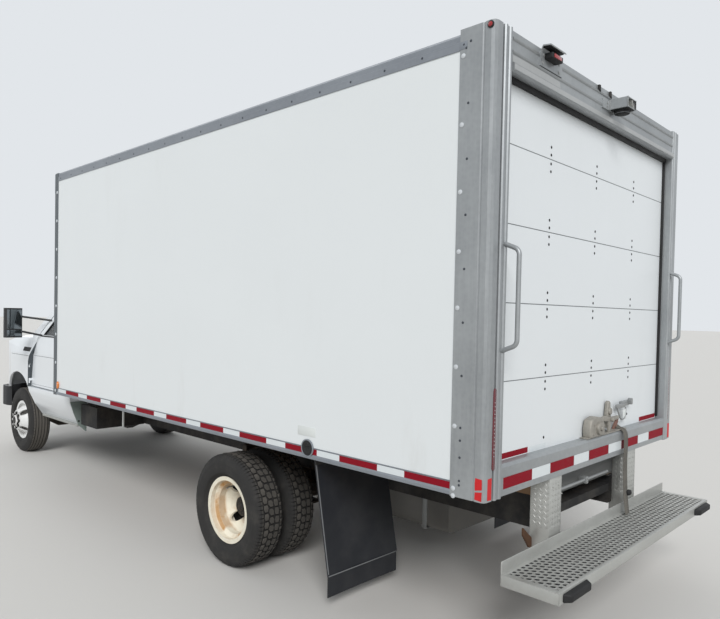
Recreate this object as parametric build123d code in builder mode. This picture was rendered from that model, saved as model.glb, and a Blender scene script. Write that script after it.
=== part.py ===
"""Box truck: a van cab on a ladder frame with a sixteen foot dry freight body."""
import os

from build123d import *

os.makedirs("parts", exist_ok=True)

# Frame: +X forward, +Y left, +Z up, origin on the ground under the middle of the whole truck.
# All sizes are in millimetres.

# Driving sizes of the whole truck
wheelbase = 4470
front_overhang = 755
cab_behind_axle = 1473
cab_gap = 80
box_length = 4877
box_width = 2438
step_reach = 330

# Freight body, heights above the ground
floor_height = 1000
rail_bottom = 847
panel_bottom = 918
roof_height = 2985
panel_top = roof_height - 80
post_top = roof_height + 15
wall_thickness = 20
deck_thickness = 38
rear_post_length = 186
front_post_length = 75

# Rear doorway
door_half_width = 1076
header_bottom = roof_height - 177
door_recess = 55
door_thickness = 28
door_panel_count = 5
door_top_lap = 77
door_panel_height = (header_bottom + door_top_lap - floor_height) / door_panel_count

# Wheels and tyres
tyre_radius = 372
tyre_width = 225
rim_lip_radius = 220
rim_seat_radius = 203
rim_half_width = 85
front_wheel_y = 881
dual_middle_y = 995
dual_spacing = 270
hand_hole_count = 4
stud_count = 8
hub_bore_radius = 42
running_gap = 0.3

# Steering
kingpin_y = 800
kingpin_radius = 16

# Ladder frame
frame_half_width = 432
frame_web = 8
frame_flange = 60
frame_top_rear = 700
frame_top_front = 600
frame_height = 180

# Cab
cab_floor_height = 640
cab_top = 2090
door_skin_y = 985
fender_skin_y = 1025
skin_thickness = 20
cab_door_thickness = 80
ledge_height = 795
belt_height = 1360
shut_gap = 10
hinge_radius = 8
hinge_half = 28
hinge_clearance = 13
pin_radius = 4
arch_radius = 440
arch_height = 500
glass_thickness = 8

# Stations along the truck, from the driving sizes
total_length = front_overhang + cab_behind_axle + cab_gap + box_length + step_reach
front_end_x = total_length / 2
front_axle_x = front_end_x - front_overhang
rear_axle_x = front_axle_x - wheelbase
cab_back_x = front_axle_x - cab_behind_axle
box_front_x = cab_back_x - cab_gap
box_back_x = box_front_x - box_length
half_width = box_width / 2


def block(x, y, z, mode=Mode.ADD):
    """One block between two limits along each axis, in the current part."""
    with Locations(((x[0] + x[1]) / 2, (y[0] + y[1]) / 2, (z[0] + z[1]) / 2)):
        Box(x[1] - x[0], y[1] - y[0], z[1] - z[0], mode=mode)


def side_outline(points, y0, y1, mode=Mode.ADD, rounding=0, round_above=0):
    """A side view outline given as (x, z) points, made solid from y0 to y1."""
    with BuildSketch(Plane.XZ.offset(-y1)) as outline:
        with BuildLine():
            Polyline(*points, close=True)
        make_face()
        if rounding:
            fillet([corner for corner in outline.vertices() if corner.Z > round_above], rounding)
    extrude(outline.sketch, amount=y1 - y0, mode=mode)


def front_outline(points, x0, x1, mode=Mode.ADD, rounding=0, round_above=0):
    """A front view outline given as (y, z) points, made solid from x0 to x1."""
    with BuildSketch(Plane.YZ.offset(x0)) as outline:
        with BuildLine():
            Polyline(*points, close=True)
        make_face()
        if rounding:
            fillet([corner for corner in outline.vertices() if corner.Z > round_above], rounding)
    extrude(outline.sketch, amount=x1 - x0, mode=mode)


def plan_outline(points, z0, z1, mode=Mode.ADD, rounding=0, round_ahead=0):
    """A plan view outline given as (x, y) points, made solid from z0 to z1."""
    with BuildSketch(Plane.XY.offset(z0)) as outline:
        with BuildLine():
            Polyline(*points, close=True)
        make_face()
        if rounding:
            fillet([corner for corner in outline.vertices() if corner.X > round_ahead], rounding)
    extrude(outline.sketch, amount=z1 - z0, mode=mode)


def both_sides(half):
    """A half outline from bottom to top as (y, z), closed by its mirror image."""
    return half + [(-y, z) for y, z in reversed(half)]


def mirrored(half):
    """The same solids on the other side of the truck."""
    return mirror(half, about=Plane.XZ, mode=Mode.PRIVATE)


# Ladder frame: two channel rails with a drop under the cab, cross members and a battery box
drop_back_x = cab_back_x - 330
drop_front_x = cab_back_x - 60
frame_back_x = box_back_x + 90
frame_front_x = front_axle_x + 610
rail_outline = [
    (frame_back_x, frame_top_rear - frame_height),
    (drop_back_x, frame_top_rear - frame_height),
    (drop_front_x, frame_top_front - frame_height),
    (frame_front_x, frame_top_front - frame_height),
    (frame_front_x, frame_top_front),
    (drop_front_x, frame_top_front),
    (drop_back_x, frame_top_rear),
    (frame_back_x, frame_top_rear),
]
pocket_outline = [
    (frame_back_x, frame_top_rear - frame_height + frame_web),
    (drop_back_x, frame_top_rear - frame_height + frame_web),
    (drop_front_x, frame_top_front - frame_height + frame_web),
    (frame_front_x, frame_top_front - frame_height + frame_web),
    (frame_front_x, frame_top_front - frame_web),
    (drop_front_x, frame_top_front - frame_web),
    (drop_back_x, frame_top_rear - frame_web),
    (frame_back_x, frame_top_rear - frame_web),
]
cross_member_stations = [  # place along the truck, middle height
    (frame_back_x + 60, frame_top_rear - frame_height / 2),
    (rear_axle_x - 250, frame_top_rear - frame_height / 2),
    (rear_axle_x + 700, frame_top_rear - frame_height / 2),
    (rear_axle_x + 1700, frame_top_rear - frame_height / 2),
    (cab_back_x + 260, frame_top_front - frame_height + 25),
    (front_axle_x, frame_top_front - frame_height + 25),
    (frame_front_x - 60, frame_top_front - frame_height / 2),
]
cross_member_height = 50
cross_member_length = 90
battery_outer_y = 930
with BuildPart() as chassis_frame:
    side_outline(rail_outline, frame_half_width - frame_flange, frame_half_width)
    side_outline(pocket_outline, frame_half_width - frame_flange, frame_half_width - frame_web,
                 Mode.SUBTRACT)
    mirror(about=Plane.XZ)
    for station_x, station_z in cross_member_stations:
        block((station_x - cross_member_length / 2, station_x + cross_member_length / 2),
              (-frame_half_width + frame_web, frame_half_width - frame_web),
              (station_z - cross_member_height / 2, station_z + cross_member_height / 2))
    side_outline([(cab_back_x - 420, 515), (cab_back_x - 60, 515), (cab_back_x - 60, 720),
                  (cab_back_x - 420, 720)], frame_half_width, battery_outer_y, rounding=50)
chassis_frame.part.label = "chassis_frame"
export_step(chassis_frame.part, "parts/chassis_frame.step")

# Engine with its gearbox behind, one plain block each, joined
engine_back_x = front_axle_x - 620
engine_front_x = front_axle_x + 280
engine_half_width = 280
engine_bottom = frame_top_front - frame_height + 50
engine_top = 1080
gearbox_length = 620
gearbox_half_width = 170
gearbox_top = frame_top_front - 10
shaft_height = 520
with BuildPart() as engine:
    block((engine_back_x, engine_front_x), (-engine_half_width, engine_half_width),
          (engine_bottom, engine_top))
    block((engine_back_x - gearbox_length, engine_back_x),
          (-gearbox_half_width, gearbox_half_width), (engine_bottom, gearbox_top))
engine.part.label = "engine"
export_step(engine.part, "parts/engine.step")

# Front axle: a dropped beam with a boss round each kingpin, a spring tower and a coil seat
beam_height = 300
beam_end_height = 372
boss_radius = 34
boss_half_height = 34
coil_y = 560
coil_radius = 60
with BuildPart() as front_axle:
    with BuildSketch(Plane.YZ.offset(front_axle_x - 30)):
        with BuildLine():
            Polyline((0, beam_height - 38), (560, beam_height - 38), (690, beam_end_height - 34),
                     (kingpin_y, beam_end_height - boss_half_height),
                     (kingpin_y, beam_end_height + boss_half_height),
                     (700, beam_end_height + 34), (560, beam_height + 38), (0, beam_height + 38),
                     close=True)
        make_face()
    extrude(amount=60)
    with Locations((front_axle_x, kingpin_y, beam_end_height)):
        Cylinder(boss_radius, 2 * boss_half_height)
        Cylinder(kingpin_radius + running_gap, 4 * boss_half_height, mode=Mode.SUBTRACT)
    with BuildSketch(Plane.XY.offset(beam_height + 38)):
        with Locations((front_axle_x, coil_y)):
            Circle(coil_radius)
    extrude(amount=frame_top_front - frame_web - beam_height - 38)
    block((front_axle_x - 70, front_axle_x + 70), (frame_half_width, coil_y + 70),
          (frame_top_front - frame_web, frame_top_front + 12))
    mirror(about=Plane.XZ)
front_axle.part.label = "front_axle"
export_step(front_axle.part, "parts/front_axle.step")

# Rear axle: banjo housing and tubes, leaf spring packs with their hangers, and the drive shaft
axle_tube_radius = 50
diff_radius = 165
spring_y = 560
spring_half_width = 38
spring_length = 1300
spring_rise = 110
leaf_thickness = 14
leaf_table = [  # share of the full length, number below the main leaf
    (1.00, 0),
    (0.80, 1),
    (0.60, 2),
    (0.40, 3),
]
axle_end_y = dual_middle_y + 55
shaft_radius = 45
gearbox_back_x = engine_back_x - gearbox_length
shaft_front = (gearbox_back_x + 20, shaft_height)
shaft_back = (rear_axle_x + diff_radius + 40, tyre_radius + 25)
with BuildPart() as rear_axle:
    with Locations(Location((rear_axle_x, 0, tyre_radius), (90, 0, 0))):
        Cylinder(axle_tube_radius, 2 * axle_end_y)
    with Locations((rear_axle_x, 0, tyre_radius)):
        Sphere(diff_radius)
    with Locations(Location((rear_axle_x + diff_radius, 0, tyre_radius + 20), (0, 80, 0))):
        Cylinder(70, 150)
    for spring_side in (-1, 1):
        for length_share, leaf_number in leaf_table:
            reach = spring_length / 2 * length_share
            rise = spring_rise * length_share ** 2
            base = tyre_radius + axle_tube_radius - 6 + (3 - leaf_number) * leaf_thickness
            with BuildSketch(Plane.XZ.offset(-spring_side * spring_y - spring_half_width)):
                with BuildLine():
                    ThreePointArc((rear_axle_x - reach, base + rise), (rear_axle_x, base),
                                  (rear_axle_x + reach, base + rise))
                    Line((rear_axle_x + reach, base + rise),
                         (rear_axle_x + reach, base + rise + leaf_thickness))
                    ThreePointArc((rear_axle_x + reach, base + rise + leaf_thickness),
                                  (rear_axle_x, base + leaf_thickness),
                                  (rear_axle_x - reach, base + rise + leaf_thickness))
                    Line((rear_axle_x - reach, base + rise + leaf_thickness),
                         (rear_axle_x - reach, base + rise))
                make_face()
            extrude(amount=2 * spring_half_width)
        for end in (-1, 1):
            eye_x = rear_axle_x + end * (spring_length / 2 - 15)
            eye_z = tyre_radius + axle_tube_radius + 3 * leaf_thickness + spring_rise
            block((eye_x - 25, eye_x + 25),
                  sorted((spring_side * frame_half_width, spring_side * (spring_y + 45))),
                  (eye_z, eye_z + 50))
    with BuildLine():
        Line((shaft_front[0], 0, shaft_front[1]), (shaft_back[0], 0, shaft_back[1]))
    with BuildSketch(Plane((shaft_front[0], 0, shaft_front[1]),
                           z_dir=(shaft_back[0] - shaft_front[0], 0,
                                  shaft_back[1] - shaft_front[1]))):
        Circle(shaft_radius)
    sweep()
    block((gearbox_back_x, gearbox_back_x + 60), (-100, 100), (400, 650), Mode.SUBTRACT)
rear_axle.part.label = "rear_axle"
export_step(rear_axle.part, "parts/rear_axle.step")

# Fuel tank between the rails behind the axle, with rounded long edges
tank_bottom = 310
with BuildPart() as fuel_tank:
    block((rear_axle_x - 1180, rear_axle_x - 330),
          (-frame_half_width + frame_flange, frame_half_width - frame_flange), (tank_bottom, 660))
    fillet(fuel_tank.edges().filter_by(Axis.X), 50)
fuel_tank.part.label = "fuel_tank"
export_step(fuel_tank.part, "parts/fuel_tank.step")

# Exhaust on the right: pipe from the engine, oval muffler and side tail pipe
muffler_x = cab_back_x - 900
muffler_y = -620
muffler_z = 430
muffler_length = 700
pipe_radius = 32
with BuildPart() as exhaust:
    with BuildSketch(Plane.YZ.offset(muffler_x - muffler_length / 2)):
        with Locations((muffler_y, muffler_z)):
            SlotOverall(240, 160)
    extrude(amount=muffler_length)
    with BuildLine():
        FilletPolyline((engine_back_x, -225, 510), (engine_back_x - 120, -225, 510),
                       (engine_back_x - 320, -290, 375), (cab_back_x + 150, -300, 370),
                       (cab_back_x - 400, muffler_y, 385),
                       (muffler_x + muffler_length / 2, muffler_y, 395), radius=60)
    with BuildSketch(Plane((engine_back_x, -225, 510), z_dir=(-1, 0, 0))):
        Circle(pipe_radius)
    sweep()
    with BuildLine():
        FilletPolyline((muffler_x - muffler_length / 2, muffler_y, muffler_z),
                       (rear_axle_x + 900, muffler_y, muffler_z),
                       (rear_axle_x + 620, -1000, muffler_z), radius=60)
    with BuildSketch(Plane((muffler_x - muffler_length / 2, muffler_y, muffler_z), z_dir=(-1, 0, 0))):
        Circle(pipe_radius)
    sweep()
exhaust.part.label = "exhaust"
export_step(exhaust.part, "parts/exhaust.step")

# Freight floor: deck on cross beams on two long sills
sill_top = 862
cross_beam_pitch = 330
cross_beam_width = 60
frame_plate = 24
rear_frame_depth = 100
floor_half_width = half_width - frame_plate
floor_front_x = box_front_x - frame_plate
floor_back_x = box_back_x + rear_frame_depth
cross_beam_count = int((floor_front_x - floor_back_x - cross_beam_width) // cross_beam_pitch)
with BuildPart() as box_floor:
    block((floor_back_x, floor_front_x), (-floor_half_width, floor_half_width),
          (floor_height - deck_thickness, floor_height))
    for beam_number in range(cross_beam_count + 1):
        beam_x = floor_back_x + cross_beam_width + beam_number * cross_beam_pitch
        block((beam_x - cross_beam_width / 2, beam_x + cross_beam_width / 2),
              (-floor_half_width, floor_half_width), (sill_top, floor_height - deck_thickness))
    for sill_side in (-1, 1):
        sill_y = sill_side * (frame_half_width - frame_flange / 2)
        block((floor_back_x, floor_front_x), (sill_y - frame_flange / 2, sill_y + frame_flange / 2),
              (frame_top_rear, sill_top))
box_floor.part.label = "box_floor"
export_step(box_floor.part, "parts/box_floor.step")

# White wall panels, front wall with its rails, and roof sheet, set just inside the outer faces
panel_inset = 4
post_front_x = box_back_x + rear_post_length
wall_front_x = box_front_x - front_post_length
with BuildPart() as left_wall:
    block((post_front_x, wall_front_x),
          (half_width - panel_inset - wall_thickness, half_width - panel_inset),
          (panel_bottom, panel_top))
left_wall.part.label = "left_wall"
export_step(left_wall.part, "parts/left_wall.step")
right_wall = mirrored(left_wall.part)
right_wall.label = "right_wall"
export_step(right_wall, "parts/right_wall.step")
with BuildPart() as front_wall:
    block((box_front_x - panel_inset - wall_thickness, box_front_x - panel_inset),
          (-half_width + front_post_length, half_width - front_post_length),
          (panel_bottom, panel_top))
    for rail_limits in ((rail_bottom, panel_bottom), (panel_top, roof_height)):
        block((box_front_x - frame_plate, box_front_x),
              (-half_width + front_post_length, half_width - front_post_length), rail_limits)
front_wall.part.label = "front_wall"
export_step(front_wall.part, "parts/front_wall.step")
roof_flange = 4
with BuildPart() as box_roof:
    block((post_front_x, box_front_x - frame_plate),
          (-half_width + frame_plate, half_width - frame_plate),
          (roof_height - roof_flange - wall_thickness, roof_height - roof_flange))
box_roof.part.label = "box_roof"
export_step(box_roof.part, "parts/box_roof.step")

# Side frames: top rail, bottom rub rail and front corner post, one frame per side
rail_flange_width = 60
top_rail_section = [
    (half_width - frame_plate, panel_top), (half_width, panel_top),
    (half_width, roof_height - 42), (half_width - 3, roof_height - 40),
    (half_width - 3, roof_height - 14), (half_width - 14, roof_height),
    (half_width - rail_flange_width, roof_height),
    (half_width - rail_flange_width, roof_height - roof_flange),
    (half_width - frame_plate, roof_height - roof_flange),
]
bottom_rail_section = [
    (half_width - frame_plate, rail_bottom + 15), (half_width - 12, rail_bottom),
    (half_width, rail_bottom + 5), (half_width, rail_bottom + 20),
    (half_width - 4, rail_bottom + 28), (half_width - 4, panel_bottom - 6),
    (half_width, panel_bottom - 3), (half_width, panel_bottom),
    (half_width - frame_plate, panel_bottom),
]
corner_radius = 40
with BuildPart() as left_side_frame:
    front_outline(top_rail_section, post_front_x, wall_front_x)
    front_outline(bottom_rail_section, post_front_x, wall_front_x)
    with BuildSketch(Plane.XY.offset(rail_bottom)) as corner_section:
        with Locations((wall_front_x, half_width - front_post_length)):
            Rectangle(front_post_length, front_post_length, align=(Align.MIN, Align.MIN))
        fillet(corner_section.vertices().group_by(Axis.X)[-1].sort_by(Axis.Y)[-1], corner_radius)
        with Locations((wall_front_x, half_width - front_post_length)):
            Rectangle(front_post_length - frame_plate, front_post_length - frame_plate,
                      align=(Align.MIN, Align.MIN), mode=Mode.SUBTRACT)
    extrude(amount=roof_height - rail_bottom)
left_side_frame.part.label = "left_side_frame"
export_step(left_side_frame.part, "parts/left_side_frame.step")
right_side_frame = mirrored(left_side_frame.part)
right_side_frame.label = "right_side_frame"
export_step(right_side_frame, "parts/right_side_frame.step")

# Rear frame: two ribbed posts, ribbed header and sill, with grab handles and header brackets
post_groove = 14
rib_rise = 6
header_depth = 50
door_half = door_half_width
post_section = [  # (distance ahead of the back face, y) of the left post, corner arc added apart
    (rear_post_length, half_width), (66, half_width), (62, half_width - 5), (56, half_width - 5),
    (52, half_width), (22, half_width), (7, half_width - 6), (0, half_width - 22),
    (0, half_width - 62), (post_groove, half_width - 62), (post_groove, half_width - 76),
    (0, half_width - 76), (-rib_rise, half_width - 81), (-rib_rise, half_width - 93),
    (0, half_width - 98), (0, door_half + 28), (-rib_rise, door_half + 23),
    (-rib_rise, door_half + 11), (0, door_half + 6), (0, door_half), (rear_frame_depth, door_half),
    (rear_frame_depth, half_width - frame_plate), (rear_post_length, half_width - frame_plate),
]
header_top = post_top - 10
header_section = [  # (distance ahead of the back face, z)
    (0, header_top), (0, header_top - 25), (-rib_rise, header_top - 30),
    (-rib_rise, header_top - 38), (0, header_top - 43), (0, header_top - 85),
    (-rib_rise, header_top - 90), (-rib_rise, header_top - 98), (0, header_top - 103),
    (0, header_bottom + 42), (-14, header_bottom + 34), (-14, header_bottom + 6),
    (0, header_bottom), (header_depth, header_bottom), (header_depth, header_top - 60),
    (rear_post_length, header_top - 60), (rear_post_length, header_top),
]
tape_low = 878
tape_high = 940
sill_section = [  # (distance ahead of the back face, z)
    (0, rail_bottom + 6), (0, tape_low), (3, tape_low + 2), (3, tape_high - 2), (0, tape_high),
    (0, floor_height - 15), (12, floor_height), (rear_frame_depth, floor_height),
    (rear_frame_depth, rail_bottom + 6),
]
handle_y = door_half + 22
handle_low = 1530
handle_high = 2020
handle_reach = 75
handle_radius = 11
hood_plate_y = (606, 829)
hood_canopy_y = (670, 826)
hood_sheet = 4
hood_reach = 60
boxed_bracket_y = (-102, 16)
boxed_flange_y = (16, 100)
boxed_bracket_reach = 114
boxed_bracket_low = header_bottom + 76
boxed_bracket_high = header_bottom + 132
with BuildPart() as rear_frame:
    plan_outline([(box_back_x + x, y) for x, y in post_section], rail_bottom, post_top)
    with BuildLine():
        FilletPolyline((box_back_x, handle_y, handle_low),
                       (box_back_x - handle_reach, handle_y, handle_low + 30),
                       (box_back_x - handle_reach, handle_y, handle_high - 30),
                       (box_back_x, handle_y, handle_high), radius=35)
    with BuildSketch(Plane((box_back_x, handle_y, handle_low), z_dir=(-handle_reach, 0, 30))):
        Circle(handle_radius)
    sweep()
    mirror(about=Plane.XZ)
    side_outline([(box_back_x + x, z) for x, z in header_section], -door_half, door_half)
    side_outline([(box_back_x + x, z) for x, z in sill_section], -door_half, door_half)
    # A bent sheet canopy over a small lamp body, on a plate of its own
    block((box_back_x - rib_rise - hood_sheet, box_back_x), hood_plate_y,
          (header_top - 87, header_top - 15))
    side_outline([(box_back_x - rib_rise, header_top - 60), (box_back_x - rib_rise, header_top - 15),
                  (box_back_x - 18, header_top + 10), (box_back_x - hood_reach, header_top + 4),
                  (box_back_x - hood_reach, header_top + 4 - hood_sheet),
                  (box_back_x - 20, header_top + 10 - hood_sheet),
                  (box_back_x - rib_rise - hood_sheet, header_top - 17),
                  (box_back_x - rib_rise - hood_sheet, header_top - 60)], *hood_canopy_y)
    block((box_back_x - hood_reach + 14, box_back_x), (hood_canopy_y[0] + 16, hood_canopy_y[1] - 40),
          (header_top - 46, header_top - 22))
    # A hollow boxed arm, open behind, with a flange beside it and a round lamp below
    block((box_back_x - boxed_bracket_reach, box_back_x), boxed_bracket_y,
          (boxed_bracket_low, boxed_bracket_high))
    block((box_back_x - boxed_bracket_reach, box_back_x - rib_rise - hood_sheet),
          (boxed_bracket_y[0] + hood_sheet, boxed_bracket_y[1] - hood_sheet),
          (boxed_bracket_low + hood_sheet, boxed_bracket_high - hood_sheet), Mode.SUBTRACT)
    block((box_back_x - rib_rise - hood_sheet, box_back_x), boxed_flange_y,
          (boxed_bracket_low - 4, boxed_bracket_high - 10))
    with Locations((box_back_x - 60, sum(boxed_bracket_y) / 2, boxed_bracket_low - 10)):
        Cylinder(42, 22)
rear_frame.part.label = "rear_frame"
export_step(rear_frame.part, "parts/rear_frame.step")

# Roll-up door: five panels with a groove at each joint, closed on the sill
panel_groove = 5
door_side_gap = 4
with BuildPart() as cargo_door:
    block((box_back_x + door_recess, box_back_x + door_recess + door_thickness),
          (-door_half + door_side_gap, door_half - door_side_gap),
          (floor_height, floor_height + door_panel_count * door_panel_height))
    for joint_number in range(1, door_panel_count):
        joint_z = floor_height + joint_number * door_panel_height
        block((box_back_x + door_recess, box_back_x + door_recess + panel_groove),
              (-door_half + door_side_gap, door_half - door_side_gap),
              (joint_z - panel_groove / 2, joint_z + panel_groove / 2), Mode.SUBTRACT)
cargo_door.part.label = "cargo_door"
export_step(cargo_door.part, "parts/cargo_door.step")

# Door latch: base plate, cam housing, arm and upright lever
latch_y = -60
with BuildPart() as door_latch:
    block((box_back_x + door_recess - 12, box_back_x + door_recess),
          (latch_y - 440, latch_y + 110), (floor_height, floor_height + 60))
    with Locations(Location((box_back_x + door_recess - 40, latch_y + 50, floor_height + 60),
                            (0, 90, 0))):
        Cylinder(58, 60)
    block((box_back_x - 5, box_back_x + door_recess - 12), (latch_y - 330, latch_y + 50),
          (floor_height + 62, floor_height + 86))
    block((box_back_x + 5, box_back_x + door_recess), (latch_y - 250, latch_y - 210),
          (floor_height + 30, floor_height + 185))
door_latch.part.label = "door_latch"
export_step(door_latch.part, "parts/door_latch.step")

# Rear step: folded deck, raised front plate, skirts, drop brackets and rubber bump stops
step_top = 490
step_bottom = 435
step_kick_top = 550
step_half_width = 1070
step_back_x = box_back_x - 295
step_front_x = box_back_x - 5
step_plate = 5
bracket_outer_y = 582
bracket_inner_y = 450
bracket_depth = 110
bump_reach = step_reach - (box_back_x - step_back_x)
with BuildPart() as rear_step:
    block((step_back_x, step_front_x), (-step_half_width, step_half_width),
          (step_top - step_plate, step_top))
    for skirt_x in ((step_back_x, step_back_x + step_plate), (step_front_x - step_plate, step_front_x)):
        block(skirt_x, (-step_half_width, step_half_width), (step_bottom, step_top))
    block((step_front_x - step_plate, step_front_x), (-step_half_width, step_half_width),
          (step_top, step_kick_top))
    for end_side in (-1, 1):
        block((step_back_x, step_front_x),
              sorted((end_side * step_half_width, end_side * (step_half_width - step_plate))),
              (step_bottom, step_top))
        block((box_back_x + 5, box_back_x + 5 + bracket_depth),
              sorted((end_side * bracket_inner_y, end_side * bracket_outer_y)),
              (step_kick_top, rail_bottom + 6))
        block((step_back_x + 20, box_back_x + 5 + bracket_depth),
              sorted((end_side * bracket_inner_y, end_side * bracket_outer_y)),
              (step_bottom, step_bottom + 45))
        block((step_front_x, box_back_x + 5 + bracket_depth),
              sorted((end_side * bracket_inner_y, end_side * bracket_outer_y)),
              (step_bottom + 45, step_kick_top))
        bump_y = sorted((end_side * (step_half_width - 30), end_side * (step_half_width - 280)))
        with BuildSketch(Plane.XY.offset(step_bottom + 2)) as bump_plan:
            with Locations((step_back_x - bump_reach / 2, sum(bump_y) / 2)):
                Rectangle(bump_reach, bump_y[1] - bump_y[0])
            fillet(bump_plan.vertices().group_by(Axis.X)[0], bump_reach - 10)
        extrude(amount=step_top - step_bottom - 8)
rear_step.part.label = "rear_step"
export_step(rear_step.part, "parts/rear_step.step")

# Pull strap of the door, from under the door over the sill to just above the step
strap_y = -380
strap_width = 48
strap_thickness = 4
strap_bottom = step_top + 40
with BuildPart() as pull_strap:
    block((box_back_x - 22, box_back_x + door_recess - 14),
          (strap_y - strap_width / 2, strap_y + strap_width / 2),
          (floor_height, floor_height + strap_thickness))
    block((box_back_x - 26, box_back_x - 22), (strap_y - strap_width / 2, strap_y + strap_width / 2),
          (strap_bottom, floor_height + strap_thickness))
pull_strap.part.label = "pull_strap"
export_step(pull_strap.part, "parts/pull_strap.step")

# Mud flaps behind the rear wheels, hung from the floor and leaning back to a straight foot
flap_beam = 3
flap_top_x = floor_back_x + cross_beam_width + flap_beam * cross_beam_pitch
flap_low_x = flap_top_x - 133
flap_crease = 240
flap_bottom = 75
flap_thickness = 10
with BuildPart() as mud_flaps:
    side_outline([(flap_top_x, sill_top), (flap_low_x, flap_crease), (flap_low_x, flap_bottom),
                  (flap_low_x + flap_thickness, flap_bottom),
                  (flap_low_x + flap_thickness, flap_crease),
                  (flap_top_x + flap_thickness, sill_top)], 580, 1185)
    mirror(about=Plane.XZ)
mud_flaps.part.label = "mud_flaps"
export_step(mud_flaps.part, "parts/mud_flaps.step")

# Wheels: a dished steel disc in a drop-centre rim, with hand holes, studs and a closed hub
dish_depth = dual_spacing / 2
disc_thickness = 11
hand_hole_radius = 33
hand_hole_circle = 131
stud_circle = 82.5
stud_radius = 13
stud_length = 26
wheel_hub_radius = 60
spindle_radius = 24


def wheel_plane(place):
    """The plane through a wheel's centre, square to its axle."""
    return Plane(origin=place, x_dir=(1, 0, 0), z_dir=(0, 1, 0))


def rim_and_disc(place, crown, toward):
    """A rim with its disc. The disc's crown lies at crown from the rim's middle, along Y."""
    seat_edge = rim_half_width - 12
    well_radius = rim_seat_radius - 26
    inner_radius = rim_seat_radius - 10
    with BuildSketch(Plane(origin=place, x_dir=(1, 0, 0), z_dir=(0, 0, 1))) as section:
        with BuildLine():
            Polyline((rim_lip_radius, -rim_half_width), (rim_lip_radius, 4 - rim_half_width),
                     (rim_seat_radius, -seat_edge), (rim_seat_radius - 3, -40),
                     (well_radius, -20), (well_radius, 30), (rim_seat_radius - 3, 50),
                     (rim_seat_radius, seat_edge), (rim_lip_radius, rim_half_width - 4),
                     (rim_lip_radius, rim_half_width), (inner_radius, rim_half_width - 2),
                     (inner_radius, 52), (well_radius - 10, 34), (well_radius - 10, -24),
                     (inner_radius, -42), (inner_radius, 2 - rim_half_width), close=True)
        make_face()
        with BuildLine():
            Polyline((wheel_hub_radius - 5, crown), (112, crown), (150, crown + toward * 68),
                     (well_radius - 4, crown + toward * (dish_depth - 24)),
                     (well_radius - 4, crown + toward * (dish_depth - 8)),
                     (144, crown + toward * 84), (105, crown + toward * disc_thickness),
                     (wheel_hub_radius - 5, crown + toward * disc_thickness), close=True)
        make_face()
    revolve(section.sketch, axis=Axis(place, (0, 1, 0)))
    with Locations(wheel_plane(place)):
        with PolarLocations(hand_hole_circle, hand_hole_count, start_angle=180 / hand_hole_count):
            Cylinder(hand_hole_radius, 2 * (dish_depth + 30), mode=Mode.SUBTRACT)


def turned(place, points):
    """A turned piece about the axle through place, from (radius, y) points."""
    with BuildSketch(Plane(origin=place, x_dir=(1, 0, 0), z_dir=(0, 0, 1))) as section:
        with BuildLine():
            Polyline(*points, close=True)
        make_face()
    revolve(section.sketch, axis=Axis(place, (0, 1, 0)))


def tyre(place):
    """A tyre: bead, bulged wall, rounded shoulder and flat tread, turned about its axle."""
    half = tyre_width / 2
    bead = rim_half_width - 12
    with BuildSketch(Plane(origin=place, x_dir=(1, 0, 0), z_dir=(0, 0, 1))) as section:
        with BuildLine():
            for wall in (-1, 1):
                Polyline((rim_seat_radius, wall * bead), (rim_lip_radius + 3, wall * (bead + 7)),
                         (tyre_radius - 120, wall * (half - 4)), (tyre_radius - 85, wall * half),
                         (tyre_radius - 50, wall * (half - 4)), (tyre_radius - 20, wall * (half - 14)),
                         (tyre_radius - 4, wall * (half - 26)), (tyre_radius, wall * (half - 42)))
            Line((tyre_radius, half - 42), (tyre_radius, 42 - half))
            Line((rim_seat_radius, bead), (rim_seat_radius, -bead))
        make_face()
    revolve(section.sketch, axis=Axis(place, (0, 1, 0)))


def studs(place, face, outward):
    """The ring of six sided nuts on a disc's outer face."""
    with BuildSketch(wheel_plane((place[0], place[1] + face, place[2]))) as nuts:
        with PolarLocations(stud_circle, stud_count):
            RegularPolygon(stud_radius, 6)
    extrude(nuts.sketch, amount=outward * stud_length)


front_wheel_place = (front_axle_x, front_wheel_y, tyre_radius)
front_crown = dish_depth + disc_thickness
yoke_web_y = kingpin_y + 40
yoke_web_thickness = 20
front_hub_inner = yoke_web_y + yoke_web_thickness + 5 - front_wheel_y
with BuildPart() as left_front_rim:
    rim_and_disc(front_wheel_place, front_crown, -1)
    turned(front_wheel_place, [
        (spindle_radius + running_gap, front_hub_inner), (wheel_hub_radius, front_hub_inner),
        (wheel_hub_radius, front_crown + 16), (wheel_hub_radius - 12, front_crown + 28),
        (0, front_crown + 28), (0, front_crown + 4),
        (spindle_radius + running_gap, front_crown + 4)])
    studs(front_wheel_place, front_crown, 1)
left_front_rim.part.label = "left_front_rim"
export_step(left_front_rim.part, "parts/left_front_rim.step")
right_front_rim = mirrored(left_front_rim.part)
right_front_rim.label = "right_front_rim"
export_step(right_front_rim, "parts/right_front_rim.step")

with BuildPart() as left_front_tyre:
    tyre(front_wheel_place)
left_front_tyre.part.label = "left_front_tyre"
export_step(left_front_tyre.part, "parts/left_front_tyre.step")
right_front_tyre = mirrored(left_front_tyre.part)
right_front_tyre.label = "right_front_tyre"
export_step(right_front_tyre, "parts/right_front_tyre.step")

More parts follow.
